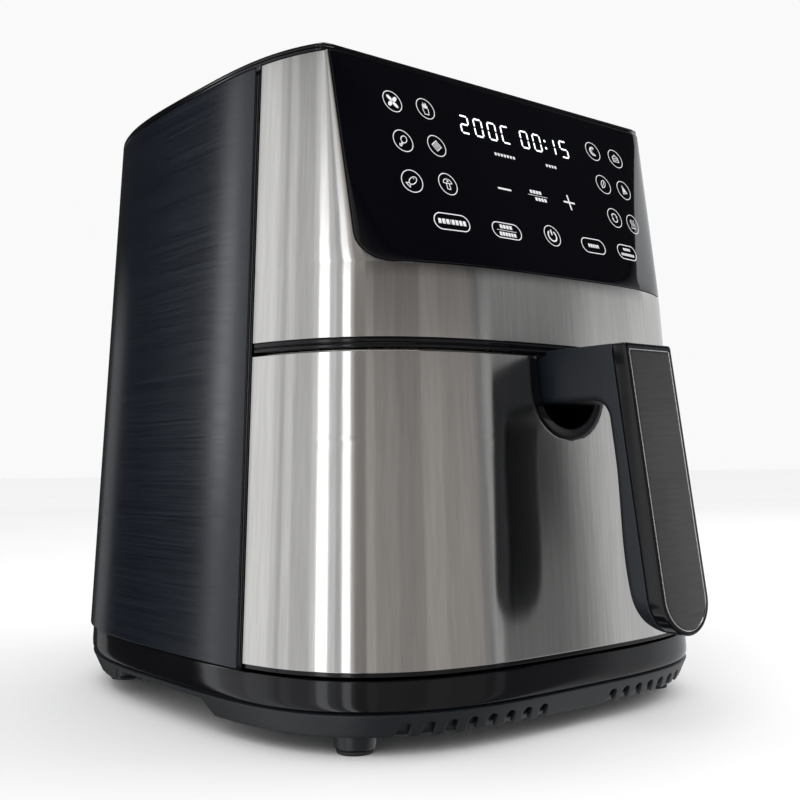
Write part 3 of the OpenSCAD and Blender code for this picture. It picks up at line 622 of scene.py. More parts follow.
def make_front_band():
    """Steel sheet round the upper front, open where the control panel sits, and a strip behind its ends."""
    low_rows = spread(BAND_LOW.z, PANEL_Z, 10)
    all_rows = low_rows + panel_heights(0.0, BAND_HIGH.z)[1:]

    def cut(z):
        return length_at_x(z, panel_half(max(z, PANEL_Z)))

    bm = bmesh.new()
    sheet(bm, all_rows, lambda z: -front_edge(z), lambda z: -cut(z), 34)
    sheet(bm, low_rows, lambda z: -cut(z), cut, 56)
    sheet(bm, all_rows, cut, front_edge, 34)
    piece("front_band", bm, "steel", "housing", "front_band", thickness=1 * MM, bevel=0.42 * MM, segments=3,
          angle=50)

    strip = bmesh.new()
    tuck, cover, depth = 4 * MM, 0.6 * MM, 1.15 * MM
    sheet(strip, all_rows, lambda z: -front_edge(z) - cover, lambda z: -front_edge(z) + tuck, 3, depth)
    sheet(strip, all_rows, lambda z: front_edge(z) - tuck, lambda z: front_edge(z) + cover, 3, depth)
    piece("band_backing", strip, "black_base", "housing", thickness=0.8 * MM)


def make_panel_glass():
    """Control panel, standing a little proud of the steel."""
    rows = panel_heights(PANEL_GAP, GLASS_HIGH.z)

    def edge(z):
        return length_at_x(z, panel_half(z, PANEL_GAP))

    bm = bmesh.new()
    sheet(bm, rows, lambda z: -edge(z), edge, 64, -GLASS_PROUD)
    piece("panel_glass", bm, "panel_black", "housing", "panel_glass", thickness=2.1 * MM, bevel=0.35 * MM,
          segments=3, angle=50)


def make_mid_trim():
    """Black strip over the drawer with two rounded ribs."""
    low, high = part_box("mid_trim")
    rib = [(0.0, 3.4), (0.0, 0.7), (0.15, 0.35), (0.5, 0.2), (1.7, 0.2), (2.0, 0.4), (2.1, 0.9), (2.4, 0.9),
           (2.5, 0.4), (2.8, 0.2), (4.2, 0.2), (4.55, 0.35), (4.7, 0.7), (4.7, 3.4)]
    step = (high.z - low.z) / rib[-1][0]
    middle_z = (low.z + high.z) / 2
    right = turns_between(middle_z, 0, front_edge(middle_z), 90)
    stations = [(t, -1) for t in reversed(right)] + [(t, 1) for t in right[1:]]
    profile = [(low.z + up * step, inset * MM) for up, inset in rib]
    bm = bmesh.new()
    rings(bm, [[at_turn(z, turn, side, inset) for z, inset in profile] for turn, side in stations],
          cap_first=True, cap_last=True)
    piece("mid_trim", bm, "gloss_black", "housing", "mid_trim", outward=True)


# ---------------------------------------------------------------- base

def make_base_ring():
    """Glossy ring under the walls, rounded in at its lower edge."""
    low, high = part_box("base_ring")
    side = [(0.0, 5.4), (0.05, 4.6), (0.35, 3.7), (1.0, 3.0), (2.0, 2.45), (3.4, 2.05), (5.2, 1.85),
            (8.0, 1.8), (11.5, 1.8), (14.4, 1.8), (14.9, 1.9), (15.2, 2.15), (15.35, 2.6), (15.35, 4.0)]
    step = (high.z - low.z) / side[-1][0]
    bm = bmesh.new()
    round_body(bm, [(low.z + up * step, inset * MM) for up, inset in side], ring_turns(low.z, 120))
    piece("base_ring", bm, "gloss_black", "housing", "base_ring")


# Base pan: its skirt has the body's plan, slants in under the ring and rises in a lifting arch on each side
PAN_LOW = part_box("base_pan")[0].z
PAN_TOP = 20 * MM
PAN_SCALE = scale_at(PAN_TOP) * 0.985       # the skirt's top edge against the body's plan at the table
PAN_SLANT = 0.028                           # how much narrower the skirt's lower edge is
# PAN_INSIDE also places the dark wall behind the front slots, which is painted shade.
PAN_INSIDE = 0.978                          # the floor plate and the rib, against the skirt
ARCH_FRONT, ARCH_BACK = MIDDLE_Y - 38 * MM, MIDDLE_Y + 78 * MM
ARCH_Z = PAN_TOP - 2.6 * MM
PAN_X, PAN_Y, PAN_LENGTH = section(0.0)


def pan_scale(z):
    return PAN_SCALE * (1 - PAN_SLANT * (PAN_TOP - z) / (PAN_TOP - PAN_LOW))


def on_pan(u, z, inside=1.0):
    """Point of the skirt at height z, a length u round its plan from the middle of the front, + to the right.
    With inside under 1 it is a point of the same plan drawn in."""
    k, along = pan_scale(z), abs(u)
    return Vector((math.copysign(np.interp(along, PAN_LENGTH, PAN_X), u) * k * inside,
                   MIDDLE_Y + np.interp(along, PAN_LENGTH, PAN_Y) * k * inside, z))


def pan_at_x(x, z):
    """Length round the plan to the point of the front that is x to the side."""
    count = up_to_widest(PAN_X)
    return float(np.interp(x / pan_scale(z), PAN_X[:count], PAN_LENGTH[:count]))


def pan_at_y(y, z):
    """Length round the plan to the point of the side at y."""
    return float(np.interp((y - MIDDLE_Y) / pan_scale(z), PAN_Y, PAN_LENGTH))


def make_base_skirt():
    """Slanted skirt, open at eight slots on each side of the front and at the arches."""
    slots, radius, pitch, first = 8, 2.65 * MM, 10.6 * MM, 22.5 * MM
    slot_z = PAN_LOW + 4 * MM
    arc = [slot_z + radius * math.sin(math.radians(a)) for a in (0, 20, 40, 60, 90)]
    heights = sorted({PAN_LOW, PAN_LOW + 2 * MM, *arc, ARCH_Z, PAN_TOP})
    over_arch = [z for z in heights if z >= ARCH_Z]

    def slot_half(z):
        return math.sqrt(max(0.0, radius ** 2 - max(0.0, z - slot_z) ** 2))

    def slot_edge(i, side):
        centre = first + radius + i * pitch
        return lambda z: pan_at_x(centre + side * slot_half(z), z)

    def arch_edge(y, side):
        return lambda z: pan_at_y(y + side * (min(z, ARCH_Z) - PAN_LOW), z)

    bar_starts = [lambda z: 0.0] + [slot_edge(i, 1) for i in range(slots)]
    bar_ends = [slot_edge(i, -1) for i in range(slots)] + [arch_edge(ARCH_FRONT, 1)]
    arch_end = arch_edge(ARCH_BACK, -1)
    stretches = [(*bar, heights, 6) for bar in zip(bar_starts, bar_ends)]
    stretches[-1] = (bar_starts[-1], bar_ends[-1], heights, 26)
    stretches += [(bar_ends[-1], arch_end, over_arch, 26), (arch_end, lambda z: PAN_LENGTH[-1], heights, 26)]
    bm = bmesh.new()
    for start, end, rows, count in stretches:
        for side in (-1, 1):
            grid = []
            for z in rows:
                row = [bm.verts.new(on_pan(side * u, z)) for u in spread(start(z), end(z), count)]
                grid.append(row[::side])
            quads(bm, grid)
    piece("base_skirt", bm, "black_base", "housing", "base_pan", thickness=2.4 * MM, bevel=0.35 * MM,
          angle=50)


def make_base_floor():
    """Floor plate inside the skirt, and a dark wall under its front part, just inside the slots: painted
    shade that makes the slots read black.
    """
    stations = spread(-PAN_LENGTH[-1], PAN_LENGTH[-1], 160)[:-1]
    stack = [(PAN_TOP - 2.4 * MM, PAN_INSIDE - 0.002), (PAN_TOP - 2.2 * MM, PAN_INSIDE),
             (PAN_TOP - 0.3 * MM, PAN_INSIDE)]
    floor = bmesh.new()
    rings(floor, [[on_pan(u, z, k) for u in stations] for z, k in stack], cap_first=True, cap_last=True)
    piece("base_floor", floor, "black_base", "housing", outward=True)

    # Dark wall just inside the front slots as painted shade: it stands in for the shaded inside of the base,
    # so that the slots read black.
    front = [u for u in stations if on_pan(u, PAN_TOP).y < ARCH_FRONT]
    middle, inner = PAN_INSIDE - 0.004, PAN_INSIDE - 0.008
    root, bend = PAN_TOP - 2.2 * MM, PAN_LOW + 0.4 * MM
    stack = [(root, PAN_INSIDE), (bend, PAN_INSIDE), (PAN_LOW, middle), (bend, inner), (root, inner)]
    loops = [[on_pan(u, z, k) for u in front] for z, k in stack]
    rib = bmesh.new()
    rings(rib, loops + [loops[0]], closed=False)
    piece("slot_shade_wall", rib, "black_base", "housing", outward=True)


def make_feet():
    """Four tapered feet with soft pads, and a shallow ring pressed into each pad."""
    pads = bmesh.new()
    for i in range(1, 5):
        low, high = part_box(f"foot_{i}")
        x, y, _ = middle_of(f"foot_{i}")
        centre = Vector((x, y, 0))
        wide = (high.x - low.x) / 2
        narrow = wide - 1.2 * MM
        side = [(narrow - 1.2 * MM, low.z), (narrow - 0.4 * MM, low.z + 0.15 * MM),
                (narrow, low.z + 0.9 * MM), (wide - 0.3 * MM, high.z - 2 * MM), (wide, high.z)]
        foot = bmesh.new()
        revolve(foot, centre, side)
        piece(f"foot_{i}", foot, "black_base", "housing", f"foot_{i}")
        radius = wide - 2 * MM
        revolve(pads, centre, [(3 * MM, 0.5 * MM), (3.6 * MM, 0.0), (radius - 0.8 * MM, 0.0),
                               (radius - 0.2 * MM, 0.2 * MM), (radius, 0.8 * MM), (radius, low.z)])
    piece("foot_pads", pads, "rubber_black", "housing", "foot_pads")


def make_cord_gland():
    """Cord inlet: a flange and a tapered sleeve with grooves, open through the middle."""
    low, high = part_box("cord_gland")
    x, _, z = middle_of("cord_gland")
    bore = 4 * MM
    seat = high.y - 6.6 * MM
    grooves, pitch, depth = 5, 0.72, 0.5
    sleeve = [(8.0, 2.6)]
    for i in range(grooves):
        radius, start = 8.0 - 1.3 * i / grooves, 2.7 + pitch * i
        sleeve += [(radius, start), (radius, start + 0.35), (radius - depth, start + 0.45),
                   (radius - depth, start + 0.65)]
    profile = [(bore, low.y), (8 * MM, low.y), (8 * MM, seat), (11.6 * MM, seat), (12 * MM, seat + 0.4 * MM),
               (12 * MM, seat + 2.0 * MM), (11.5 * MM, seat + 2.5 * MM), (8.2 * MM, seat + 2.6 * MM)]
    profile += [(r * MM, seat + y * MM) for r, y in sleeve if seat + y * MM < high.y - 0.4 * MM]
    profile += [(6.3 * MM, high.y), (bore + 0.6 * MM, high.y), (bore, high.y - 0.6 * MM), (bore, low.y)]
    turns = spread(0, 2 * math.pi, 64)[:-1]
    bm = bmesh.new()
    rings(bm, [[Vector((x + r * math.cos(a), y, z + r * math.sin(a))) for a in turns] for r, y in profile])
    piece("cord_gland", bm, "rubber_black", "housing", "cord_gland", outward=True)


# ---------------------------------------------------------------- drawer front

LINER_LOW, LINER_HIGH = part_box("pocket_liner")
POCKET_R = LINER_HIGH.x
POCKET_Z = LINER_LOW.z + POCKET_R
BOWL_BACK = LINER_HIGH.y - 2 * MM


def pocket_half(z, radius):
    """Half of the recess's width at height z."""
    if z >= POCKET_Z:
        return radius
    return math.sqrt(max(0.0, radius ** 2 - (POCKET_Z - z) ** 2))


def make_drawer_sheet(name, slot, low, high, inset, thickness, bevel, radius):
    """Sheet round the drawer's front, cut away for the recess behind the handle."""
    arc = [POCKET_Z - radius * math.cos(math.radians(a)) for a in range(0, 90, 10)]
    arc = arc[:1] + [z for z in arc if z > arc[0] + 0.5 * MM]
    rows = spread(low, arc[0], 16) + arc[1:] + [POCKET_Z, high]
    bm = bmesh.new()

    def cut(z):
        return length_at_x(z, pocket_half(z, radius)) if z > arc[0] else 0.0

    sheet(bm, rows, lambda z: -front_edge(z), lambda z: -cut(z), 90, inset)
    sheet(bm, rows, cut, front_edge, 90, inset)
    piece(name, bm, slot, "drawer", name, thickness=thickness, bevel=bevel, segments=3, angle=50)


def make_drawer_front():
    """Steel skin and the black front body behind it."""
    low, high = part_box("drawer_front")
    radius = POCKET_R + 0.1 * MM
    make_drawer_sheet("drawer_skin", "steel", SKIN_LOW.z, SKIN_HIGH.z, 0.0, 1 * MM, 0.42 * MM, radius)
    make_drawer_sheet("drawer_front", "gloss_black", low.z, high.z, 1.1 * MM, 3.4 * MM, 0.6 * MM, radius)


def arch_points(radius, top):
    """Open U in front view: down the left side, round the bottom and up the right side."""
    left = [(-radius, z) for z in spread(top, POCKET_Z, 8)[:-1]]
    bends = [math.radians(a) for a in spread(0, 180, 24)]
    arc = [(-radius * math.cos(a), POCKET_Z - radius * math.sin(a)) for a in bends]
    right = [(radius, z) for z in spread(POCKET_Z, top, 8)[1:]]
    return left + arc + right


def make_pocket_liner():
    """Recess behind the handle's arm: a flush rim, a rounded lip, a bowl and its back."""
    top = LINER_HIGH.z
    bowl, round_r = 20.8 * MM, 5 * MM
    rim = [(POCKET_R, 1.6), (POCKET_R, 0.3), (POCKET_R - 0.3 * MM, -0.1), (POCKET_R - 1.2 * MM, -0.1),
           (bowl + 0.9 * MM, -0.1), (bowl + 0.3 * MM, 0.15), (bowl, 0.8), (bowl, 2.5)]
    loops = []
    for radius, inset in rim:
        loops.append([Vector((x, front_y(x, z, inset * MM), z)) for x, z in arch_points(radius, top)])
    for a in (0, 22.5, 45, 67.5, 90):
        radius = bowl - round_r * (1 - math.cos(math.radians(a)))
        y = BOWL_BACK - round_r * (1 - math.sin(math.radians(a)))
        loops.append([Vector((x, y, z)) for x, z in arch_points(radius, top)])
    bm = bmesh.new()
    back = rings(bm, loops, closed=False)[-1]
    half = len(back) // 2
    for i in range(half - 1):
        bm.faces.new([back[i], back[i + 1], back[-2 - i], back[-1 - i]])
    bm.faces.new([back[half - 1], back[half], back[half + 1]])
    piece("pocket_liner", bm, "gloss_black", "drawer", "pocket_liner", thickness=1.5 * MM)


# ---------------------------------------------------------------- handle

FRONT_LOW, FRONT_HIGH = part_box("handle_front")
GRIP_HALF = FRONT_HIGH.x
GRIP_LOW, GRIP_TOP = FRONT_LOW.z, FRONT_HIGH.z
GRIP_ROUND = GRIP_LOW + GRIP_HALF           # height of the centre of the round lower end
FACE_LEAN = 0.149                           # how far the face leans back for each unit of height
HALF_DEPTH = 8.5 * MM                       # from the face to the joint of the two halves


def face_y(z):
    """Front face of the handle at height z."""
    return FRONT_LOW.y + FACE_LEAN * (z - GRIP_LOW)


def with_ends(low, high, count, near):
    """Even steps with one more line close to each end, so that smooth shading stays at the corners."""
    return [low, low + near, *spread(low, high, count)[1:-1], high - near, high]


def grip_outline(inset, top_inset):
    """Front view of the grip: a round lower end and a flat top with small corners."""
    top = GRIP_TOP - top_inset
    half = GRIP_HALF - inset
    corner = 1.2 * MM
    turns = [math.radians(a) for a in spread(0, 180, 48)]
    arc = [(half * math.cos(a), GRIP_ROUND - half * math.sin(a)) for a in turns]
    side = with_ends(GRIP_ROUND, top - corner, 14, 1.5 * MM)[1:]
    bend = [math.radians(a) for a in (22.5, 45, 67.5, 90)]
    left_corner = [(-half + corner - corner * math.cos(a), top - corner + corner * math.sin(a)) for a in bend]
    flat = [(x, top) for x in with_ends(-half + corner, half - corner, 6, 1.5 * MM)[1:-1]]
    right_corner = [(-x, z) for x, z in reversed(left_corner)]
    top_end = left_corner + flat + right_corner
    return arc + [(-half, z) for z in side] + top_end + [(half, z) for z in reversed(side)]


def grip_solid(bm, steps, closed=False):
    """Skin of the grip's outline through steps of (inset, depth behind the face, inset at the top) in mm."""
    loops = []
    for inset, depth, top_inset in steps:
        outline = grip_outline(inset * MM, top_inset * MM)
        loops.append([Vector((x, face_y(z) + depth * MM, z)) for x, z in outline])
    if closed:
        rings(bm, loops + [loops[0]])
    else:
        rings(bm, loops, cap_first=True, cap_last=True)


def make_handle_front():
    """Glossy front half with a sunk bed for the face plate."""
    border, bed = 1.9, 0.9
    sides = [(1.5, 0.0), (1.3, 0.0), (0.75, 0.08), (0.3, 0.35), (0.05, 0.8), (0.0, 1.3), (0.0, 1.7),
             (0.0, 4.4), (0.0, 7.1), (0.0, 7.4), (0.1, 7.9), (0.45, 8.3), (1.0, 8.5)]
    steps = [(border, bed, 2.6), (border, 0.25, 2.6), (border - 0.15, 0.05, 2.45), (border - 0.35, 0.0, 2.25)]
    steps += [(inset, depth, inset) for inset, depth in sides]
    bm = bmesh.new()
    grip_solid(bm, steps)
    piece("handle_front", bm, "gloss_black", "drawer", "handle_front", outward=True)


def make_handle_plate():
    """Face plate in its bed, and the bright line round it."""
    higher = 0.7
    plate = bmesh.new()
    sides = [(3.5, 0.15), (2.9, 0.17), (2.65, 0.3), (2.6, 0.5), (2.6, 0.85)]
    grip_solid(plate, [(inset, depth, inset + higher) for inset, depth in sides])
    piece("handle_plate", plate, "plate_metal", "drawer", "handle_plate", outward=True)
    line = bmesh.new()
    sides = [(1.96, 0.85), (1.96, 0.2), (2.05, 0.06), (2.25, 0.0), (2.45, 0.06), (2.54, 0.2), (2.54, 0.85)]
    grip_solid(line, [(inset, depth, inset + higher) for inset, depth in sides], closed=True)
    piece("handle_plate_line", line, "chrome_line", "drawer", "handle_plate_line", outward=True)


def grip_half_at(z):
    """Half width of the handle at height z."""
    if z >= GRIP_ROUND:
        return GRIP_HALF
    return math.sqrt(max(0.0, GRIP_HALF ** 2 - (GRIP_ROUND - z) ** 2))


def smooth_through(points, z):
    """Depth at height z on a curve without corners through the given (depth, height) points."""
    depths = [p[0] for p in points]
    heights = [p[1] for p in points]
    slopes = np.gradient(depths, heights)
    i = min(max(int(np.searchsorted(heights, z)) - 1, 0), len(heights) - 2)
    step = heights[i + 1] - heights[i]
    t = (z - heights[i]) / step
    start = (2 * t ** 3 - 3 * t ** 2 + 1) * depths[i] + (t ** 3 - 2 * t ** 2 + t) * step * slopes[i]
    end = (-2 * t ** 3 + 3 * t ** 2) * depths[i + 1] + (t ** 3 - t ** 2) * step * slopes[i + 1]
    return start + end


# Side view of the handle's rear half, as (y, height): up the back, round under the arm and back over it
ARM_LOW = 158.5 * MM
ARM_FILLET = 10 * MM
ARM_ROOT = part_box("handle_back")[1].y
SEAM = HALF_DEPTH + 0.1 * MM
BACK_CURVE = [(-200.6, 52.6), (-196.6, 55.6), (-193.4, 61), (-191.0, 68), (-188.7, 78), (-187.0, 90),
              (-185.6, 108), (-184.4, 128), (-182.6, 141), (-181.5, 148.5)]
BACK_CURVE = [(MIDDLE_Y + y * MM, z * MM) for y, z in BACK_CURVE]


def handle_side_view():
    """Outline of the rear half, and how many of its points go up the seam, up the back and on to the root."""
    lowest = GRIP_LOW + 0.5 * MM
    fillet_y, fillet_z = BACK_CURVE[-1][0] + ARM_FILLET, ARM_LOW - ARM_FILLET
    heights = [GRIP_ROUND - (GRIP_ROUND - lowest) * math.cos(math.radians(a)) for a in range(0, 90, 9)]
    heights += spread(GRIP_ROUND, fillet_z, 18)
    seam = heights + spread(fillet_z, GRIP_TOP, 6)[1:]
    turns = [math.radians(a) for a in spread(0, 90, 8)[1:]]
    bend = [(fillet_y - ARM_FILLET * math.cos(a), fillet_z + ARM_FILLET * math.sin(a)) for a in turns]
    under = [(y, ARM_LOW) for y in spread(fillet_y, ARM_ROOT, 5)[1:]]
    over = [(y, LINER_HIGH.z - 0.2 * MM) for y in spread(ARM_ROOT, MIDDLE_Y - 142.6 * MM, 3)]
    over += [(MIDDLE_Y - 144.5 * MM, GRIP_TOP), (MIDDLE_Y - 165 * MM, GRIP_TOP)]
    outline = [(face_y(z) + SEAM, z) for z in reversed(seam)]
    outline += [(smooth_through(BACK_CURVE, z), z) for z in heights] + bend + under + over
    return outline, len(seam), len(heights), len(bend) + len(under)


def make_handle_back():
    """Matt rear half of the grip and the arm that carries it, as one moulding with soft edges."""
    outline, seam_count, back_count, arm_count = handle_side_view()
    count = len(outline)
    back_end = seam_count + back_count
    soft_end = back_end + arm_count - 1

    def inward(i):
        """Direction from the edge of the side view into the material."""
        ahead = Vector(outline[(i + 1) % count]) - Vector(outline[i])
        behind = Vector(outline[i]) - Vector(outline[i - 1])
        along = (ahead.normalized() + behind.normalized()).normalized()
        return Vector((-along.y, along.x))

    def rounding(i):
        """Edge radius: soft on the back and under the arm, small at the seam and at the top."""
        if not seam_count <= i < soft_end:
            return 0.5 * MM
        y, z = outline[i]
        depth = y - face_y(z) - SEAM if i < back_end else 8 * MM
        return min(4.5 * MM, 0.45 * depth, 0.6 * grip_half_at(z))

    def loop(side, turn):
        """The side view's outline as the edge rounds from the flat of one side to its rim."""
        points = []
        for i, (y, z) in enumerate(outline):
            radius = rounding(i)
            step = inward(i) * (radius * (1 - math.sin(turn)))
            if i == soft_end or y >= ARM_ROOT - 1e-6:
                step = Vector((0, 0))
            out = grip_half_at(z) - radius * (1 - math.cos(turn))
            points.append(Vector((side * out, y + step.x, z + step.y)))
        return points

    turns = [math.radians(a) for a in (0, 18, 36, 54, 72, 90)]
    bm = bmesh.new()
    rows = rings(bm, [loop(-1, t) for t in turns] + [loop(1, t) for t in reversed(turns)])
    for row in (rows[0], rows[-1]):
        for k in range(back_count - 1):
            seam, back = seam_count - 1 - k, seam_count + k
            bm.faces.new([row[seam], row[seam - 1], row[back + 1], row[back]])
        upper = [*range(seam_count - back_count, -1, -1), *range(count - 1, back_end - 2, -1)]
        bm.faces.new([row[i] for i in upper])
    piece("handle_back", bm, "handle_matte", "drawer", "handle_back", outward=True, flat=True)


# ---------------------------------------------------------------- panel print and digits

def on_glass(x, z, lift):
    """Point at x, z in front view, just over the glass."""
    return Vector((x, front_y(x, z, -GLASS_PROUD - lift), z))


def stroke(bm, points, width, closed=False, sharp=False):
    """A line of the given width through (x, z) points in millimetres, laid on the glass.

    It can be closed into a ring, or have pointed ends."""
    corners = [Vector(p) for p in points]
    path = []
    for here, there in zip(corners, corners[1:] + corners[:1] if closed else corners[1:]):
        cuts = max(1, round((there - here).length / 1.5))
        path += [here.lerp(there, i / cuts) for i in range(cuts)]
    if not closed:
        path.append(corners[-1])
    count = len(path)
    pairs = []
    for i, p in enumerate(path):
        before = path[i - 1] if closed or i > 0 else p
        after = path[(i + 1) % count] if closed or i < count - 1 else p
        one = (p - before).normalized() if (p - before).length else (after - p).normalized()
        two = (after - p).normalized() if (after - p).length else one
        normal = Vector((-(one.y + two.y), one.x + two.x)).normalized()
        reach = width / 2 / max(0.5, normal.dot(Vector((-one.y, one.x))))
        pairs.append((p + normal * reach, p - normal * reach))
    lift = 0.05 * MM
    rows = [[bm.verts.new(on_glass(q.x * MM, q.y * MM, lift)) for q in pair] for pair in pairs]
    if sharp and not closed:
        for end, inner in ((0, 1), (-1, -2)):
            direction = (path[end] - path[inner]).normalized()
            tip = path[end] + direction * width * 0.45
            vertex = bm.verts.new(on_glass(tip.x * MM, tip.y * MM, lift))
            bm.faces.new([rows[end][0], rows[end][1], vertex])
    quads(bm, rows + [rows[0]] if closed else rows)


def blob(bm, points):
    """A filled outline laid on the glass."""
    bm.faces.new([bm.verts.new(on_glass(x * MM, z * MM, 0.07 * MM)) for x, z in points])


def oval(centre, wide, high, turn=0.0, start=0, end=360, count=28):
    """Points along an ellipse, or an arc of it, in millimetres."""
    c, s = math.cos(math.radians(turn)), math.sin(math.radians(turn))
    whole = end - start >= 360
    out = []
    for i in range(count if whole else count + 1):
        a = math.radians(start + (end - start) * i / count)
        x, z = wide * math.cos(a), high * math.sin(a)
        out.append((centre[0] + x * c - z * s, centre[1] + x * s + z * c))
    return out


def turned(points, centre, turn=0.0):
    """Points of a pictogram, turned and moved to its place."""
    c, s = math.cos(math.radians(turn)), math.sin(math.radians(turn))
    return [(centre[0] + x * c - z * s, centre[1] + x * s + z * c) for x, z in points]


THIN = 0.42           # width of most of the print's lines, in millimetres
THIN_RULE = 0.25
KEY_RADIUS = 5.6


def draw_fan(bm, at):
    for turn in range(0, 360, 90):
        blade = turned(oval((2.1, 0.75), 1.9, 1.05, 25), (0, 0), turn + 20)
        blob(bm, turned(blade, at))


def draw_fries(bm, at):
    stroke(bm, turned([(-1.9, 0.2), (-1.3, -3.2), (1.3, -3.2), (1.9, 0.2)], at), THIN)
    for x, top in ((-1.5, 2.2), (-0.7, 3.2), (0.1, 2.6), (0.9, 3.3), (1.6, 2.0)):
        stroke(bm, turned([(x * 0.8, 0.2), (x, top)], at), 0.55)


def draw_drumstick(bm, at):
    stroke(bm, turned(oval((0.6, 0.8), 2.1, 1.6, 50), at), THIN, closed=True)
    stroke(bm, turned([(-0.6, -0.6), (-1.9, -2.2), (-2.5, -1.9), (-2.6, -2.7), (-1.8, -3.1), (-1.4, -2.5),
                       (-0.1, -0.9)], at), THIN)


def draw_toast(bm, at):
    square = [(-2.1, -2.0), (2.1, -2.0), (2.1, 2.0), (-2.1, 2.0)]
    stroke(bm, turned(square, at, 38), THIN, closed=True)
    for x in (-1.2, -0.4, 0.4, 1.2):
        stroke(bm, turned([(x, -1.7), (x, 1.7)], at, 38), 0.3)


def draw_fish(bm, at):
    stroke(bm, turned(oval((0.5, 0), 2.6, 1.5), at, 40), THIN, closed=True)
    stroke(bm, turned([(-1.9, 0.3), (-3.4, 1.4), (-3.4, -1.4), (-1.9, -0.3)], at, 40), THIN)
    blob(bm, turned(oval((1.6, 0.4), 0.3, 0.3, count=10), at, 40))


def draw_mushroom(bm, at):
    stroke(bm, turned(oval((0, 0.4), 2.7, 2.3, 0, 0, 180), at), THIN)
    stroke(bm, turned([(-2.7, 0.4), (2.7, 0.4)], at), THIN)
    stroke(bm, turned([(-0.9, 0.3), (-1.0, -2.7), (1.0, -2.7), (0.9, 0.3)], at), THIN)
    blob(bm, turned(oval((0.1, 1.5), 0.7, 0.45, count=12), at))


def draw_shrimp(bm, at):
    stroke(bm, turned(oval((0.2, 0), 2.4, 2.4, 0, 60, 300), at), 0.9)
    stroke(bm, turned(oval((0.2, 0), 1.3, 1.3, 0, 60, 300), at), 0.3)


def draw_cake(bm, at):
    stroke(bm, turned([(-2.4, -2.0), (2.4, -2.0), (2.4, 0.2), (-2.4, 0.2)], at), THIN, closed=True)
    stroke(bm, turned(oval((0, 0.2), 2.4, 1.6, 0, 0, 180), at), THIN)
    stroke(bm, turned([(-2.2, -0.9), (2.2, -0.9)], at), 0.3)
    blob(bm, turned(oval((0, 2.2), 0.5, 0.5, count=12), at))


def draw_slice(bm, at):
    stroke(bm, turned([(0, 2.9), (-1.9, -2.0), (1.9, -2.0)], at, 12), THIN, closed=True)
    blob(bm, turned([(0, 1.7), (-1.1, -1.3), (1.1, -1.3)], at, 12))


def draw_swirl(bm, at):
    for turn in (0, 180):
        stroke(bm, turned(oval((0, 1.0), 1.9, 1.5, 0, -20, 200, 18), at, turn), 0.6)
        blob(bm, turned([(1.1, 0.9), (2.7, 0.9), (1.9, -0.3)], at, turn))


def draw_steam(bm, at):
    stroke(bm, turned([(-2.4, -2.4), (2.4, -2.4)], at), 0.5)
    for x in (-1.5, 0.0, 1.5):
        wave = [(x + 0.45 * math.sin(i * math.pi / 3), -1.5 + i * 0.6) for i in range(8)]
        stroke(bm, turned(wave, at), 0.4)


def draw_leaf(bm, at):
    stroke(bm, turned(oval((0, 0.3), 1.5, 2.6, -35), at), THIN, closed=True)
    stroke(bm, turned([(-2.0, -2.6), (1.2, 2.0)], at), 0.35)


def draw_power(bm, at):
    stroke(bm, turned(oval((0, -0.1), 2.9, 2.9, 0, 122, 418, 30), at), 0.85)
    stroke(bm, turned([(0, 0.3), (0, 3.4)], at), 0.85)


def pill(bm, at, wide, high):
    """Outline with round ends."""
    radius = high / 2
    straight = wide / 2 - radius
    points = [(x + straight, z) for x, z in oval((0, 0), radius, radius, 0, -90, 90, 16)]
    points += [(x - straight, z) for x, z in oval((0, 0), radius, radius, 0, 90, 270, 16)]
    stroke(bm, turned(points, at), 0.5, closed=True)


def dashes(bm, at, lengths, height, gap):
    """A row of short bars in place of a printed word."""
    half = height / 2
    left = -(sum(lengths) + gap * (len(lengths) - 1)) / 2
    for length in lengths:
        right = left + length
        blob(bm, turned([(left, -half), (right, -half), (right, half), (left, half)], at))
        left = right + gap


SEGMENTS = {
    "a": ((0, 2), (1, 2)), "b": ((1, 2), (1, 1)), "c": ((1, 1), (1, 0)), "d": ((0, 0), (1, 0)),
    "e": ((0, 1), (0, 0)), "f": ((0, 2), (0, 1)), "g": ((0, 1), (1, 1)),
}
DIGIT_GAP, DIGIT_WIDTH = 0.75, 0.92
GLYPHS = {"0": "abcdef", "1": "bc", "2": "abged", "5": "afgcd", "C": "afed"}


def draw_digit(bm, glyph, x, z, wide, high, lean):
    """Seven-segment figure with its lower left corner at x, z."""
    for name in GLYPHS[glyph]:
        (x0, z0), (x1, z1) = SEGMENTS[name]
        start = Vector((x0 * wide, z0 * high / 2))
        end = Vector((x1 * wide, z1 * high / 2))
        step = (end - start).normalized() * DIGIT_GAP
        ends = [start + step, end - step]
        stroke(bm, [(x + p.x + p.y * lean, z + p.y) for p in ends], DIGIT_WIDTH, sharp=True)


def facing_front(bm):
    """Turns every face towards the front."""
    for face in bm.faces:
        face.normal_update()
        if face.normal.y > 0:
            face.normal_flip()


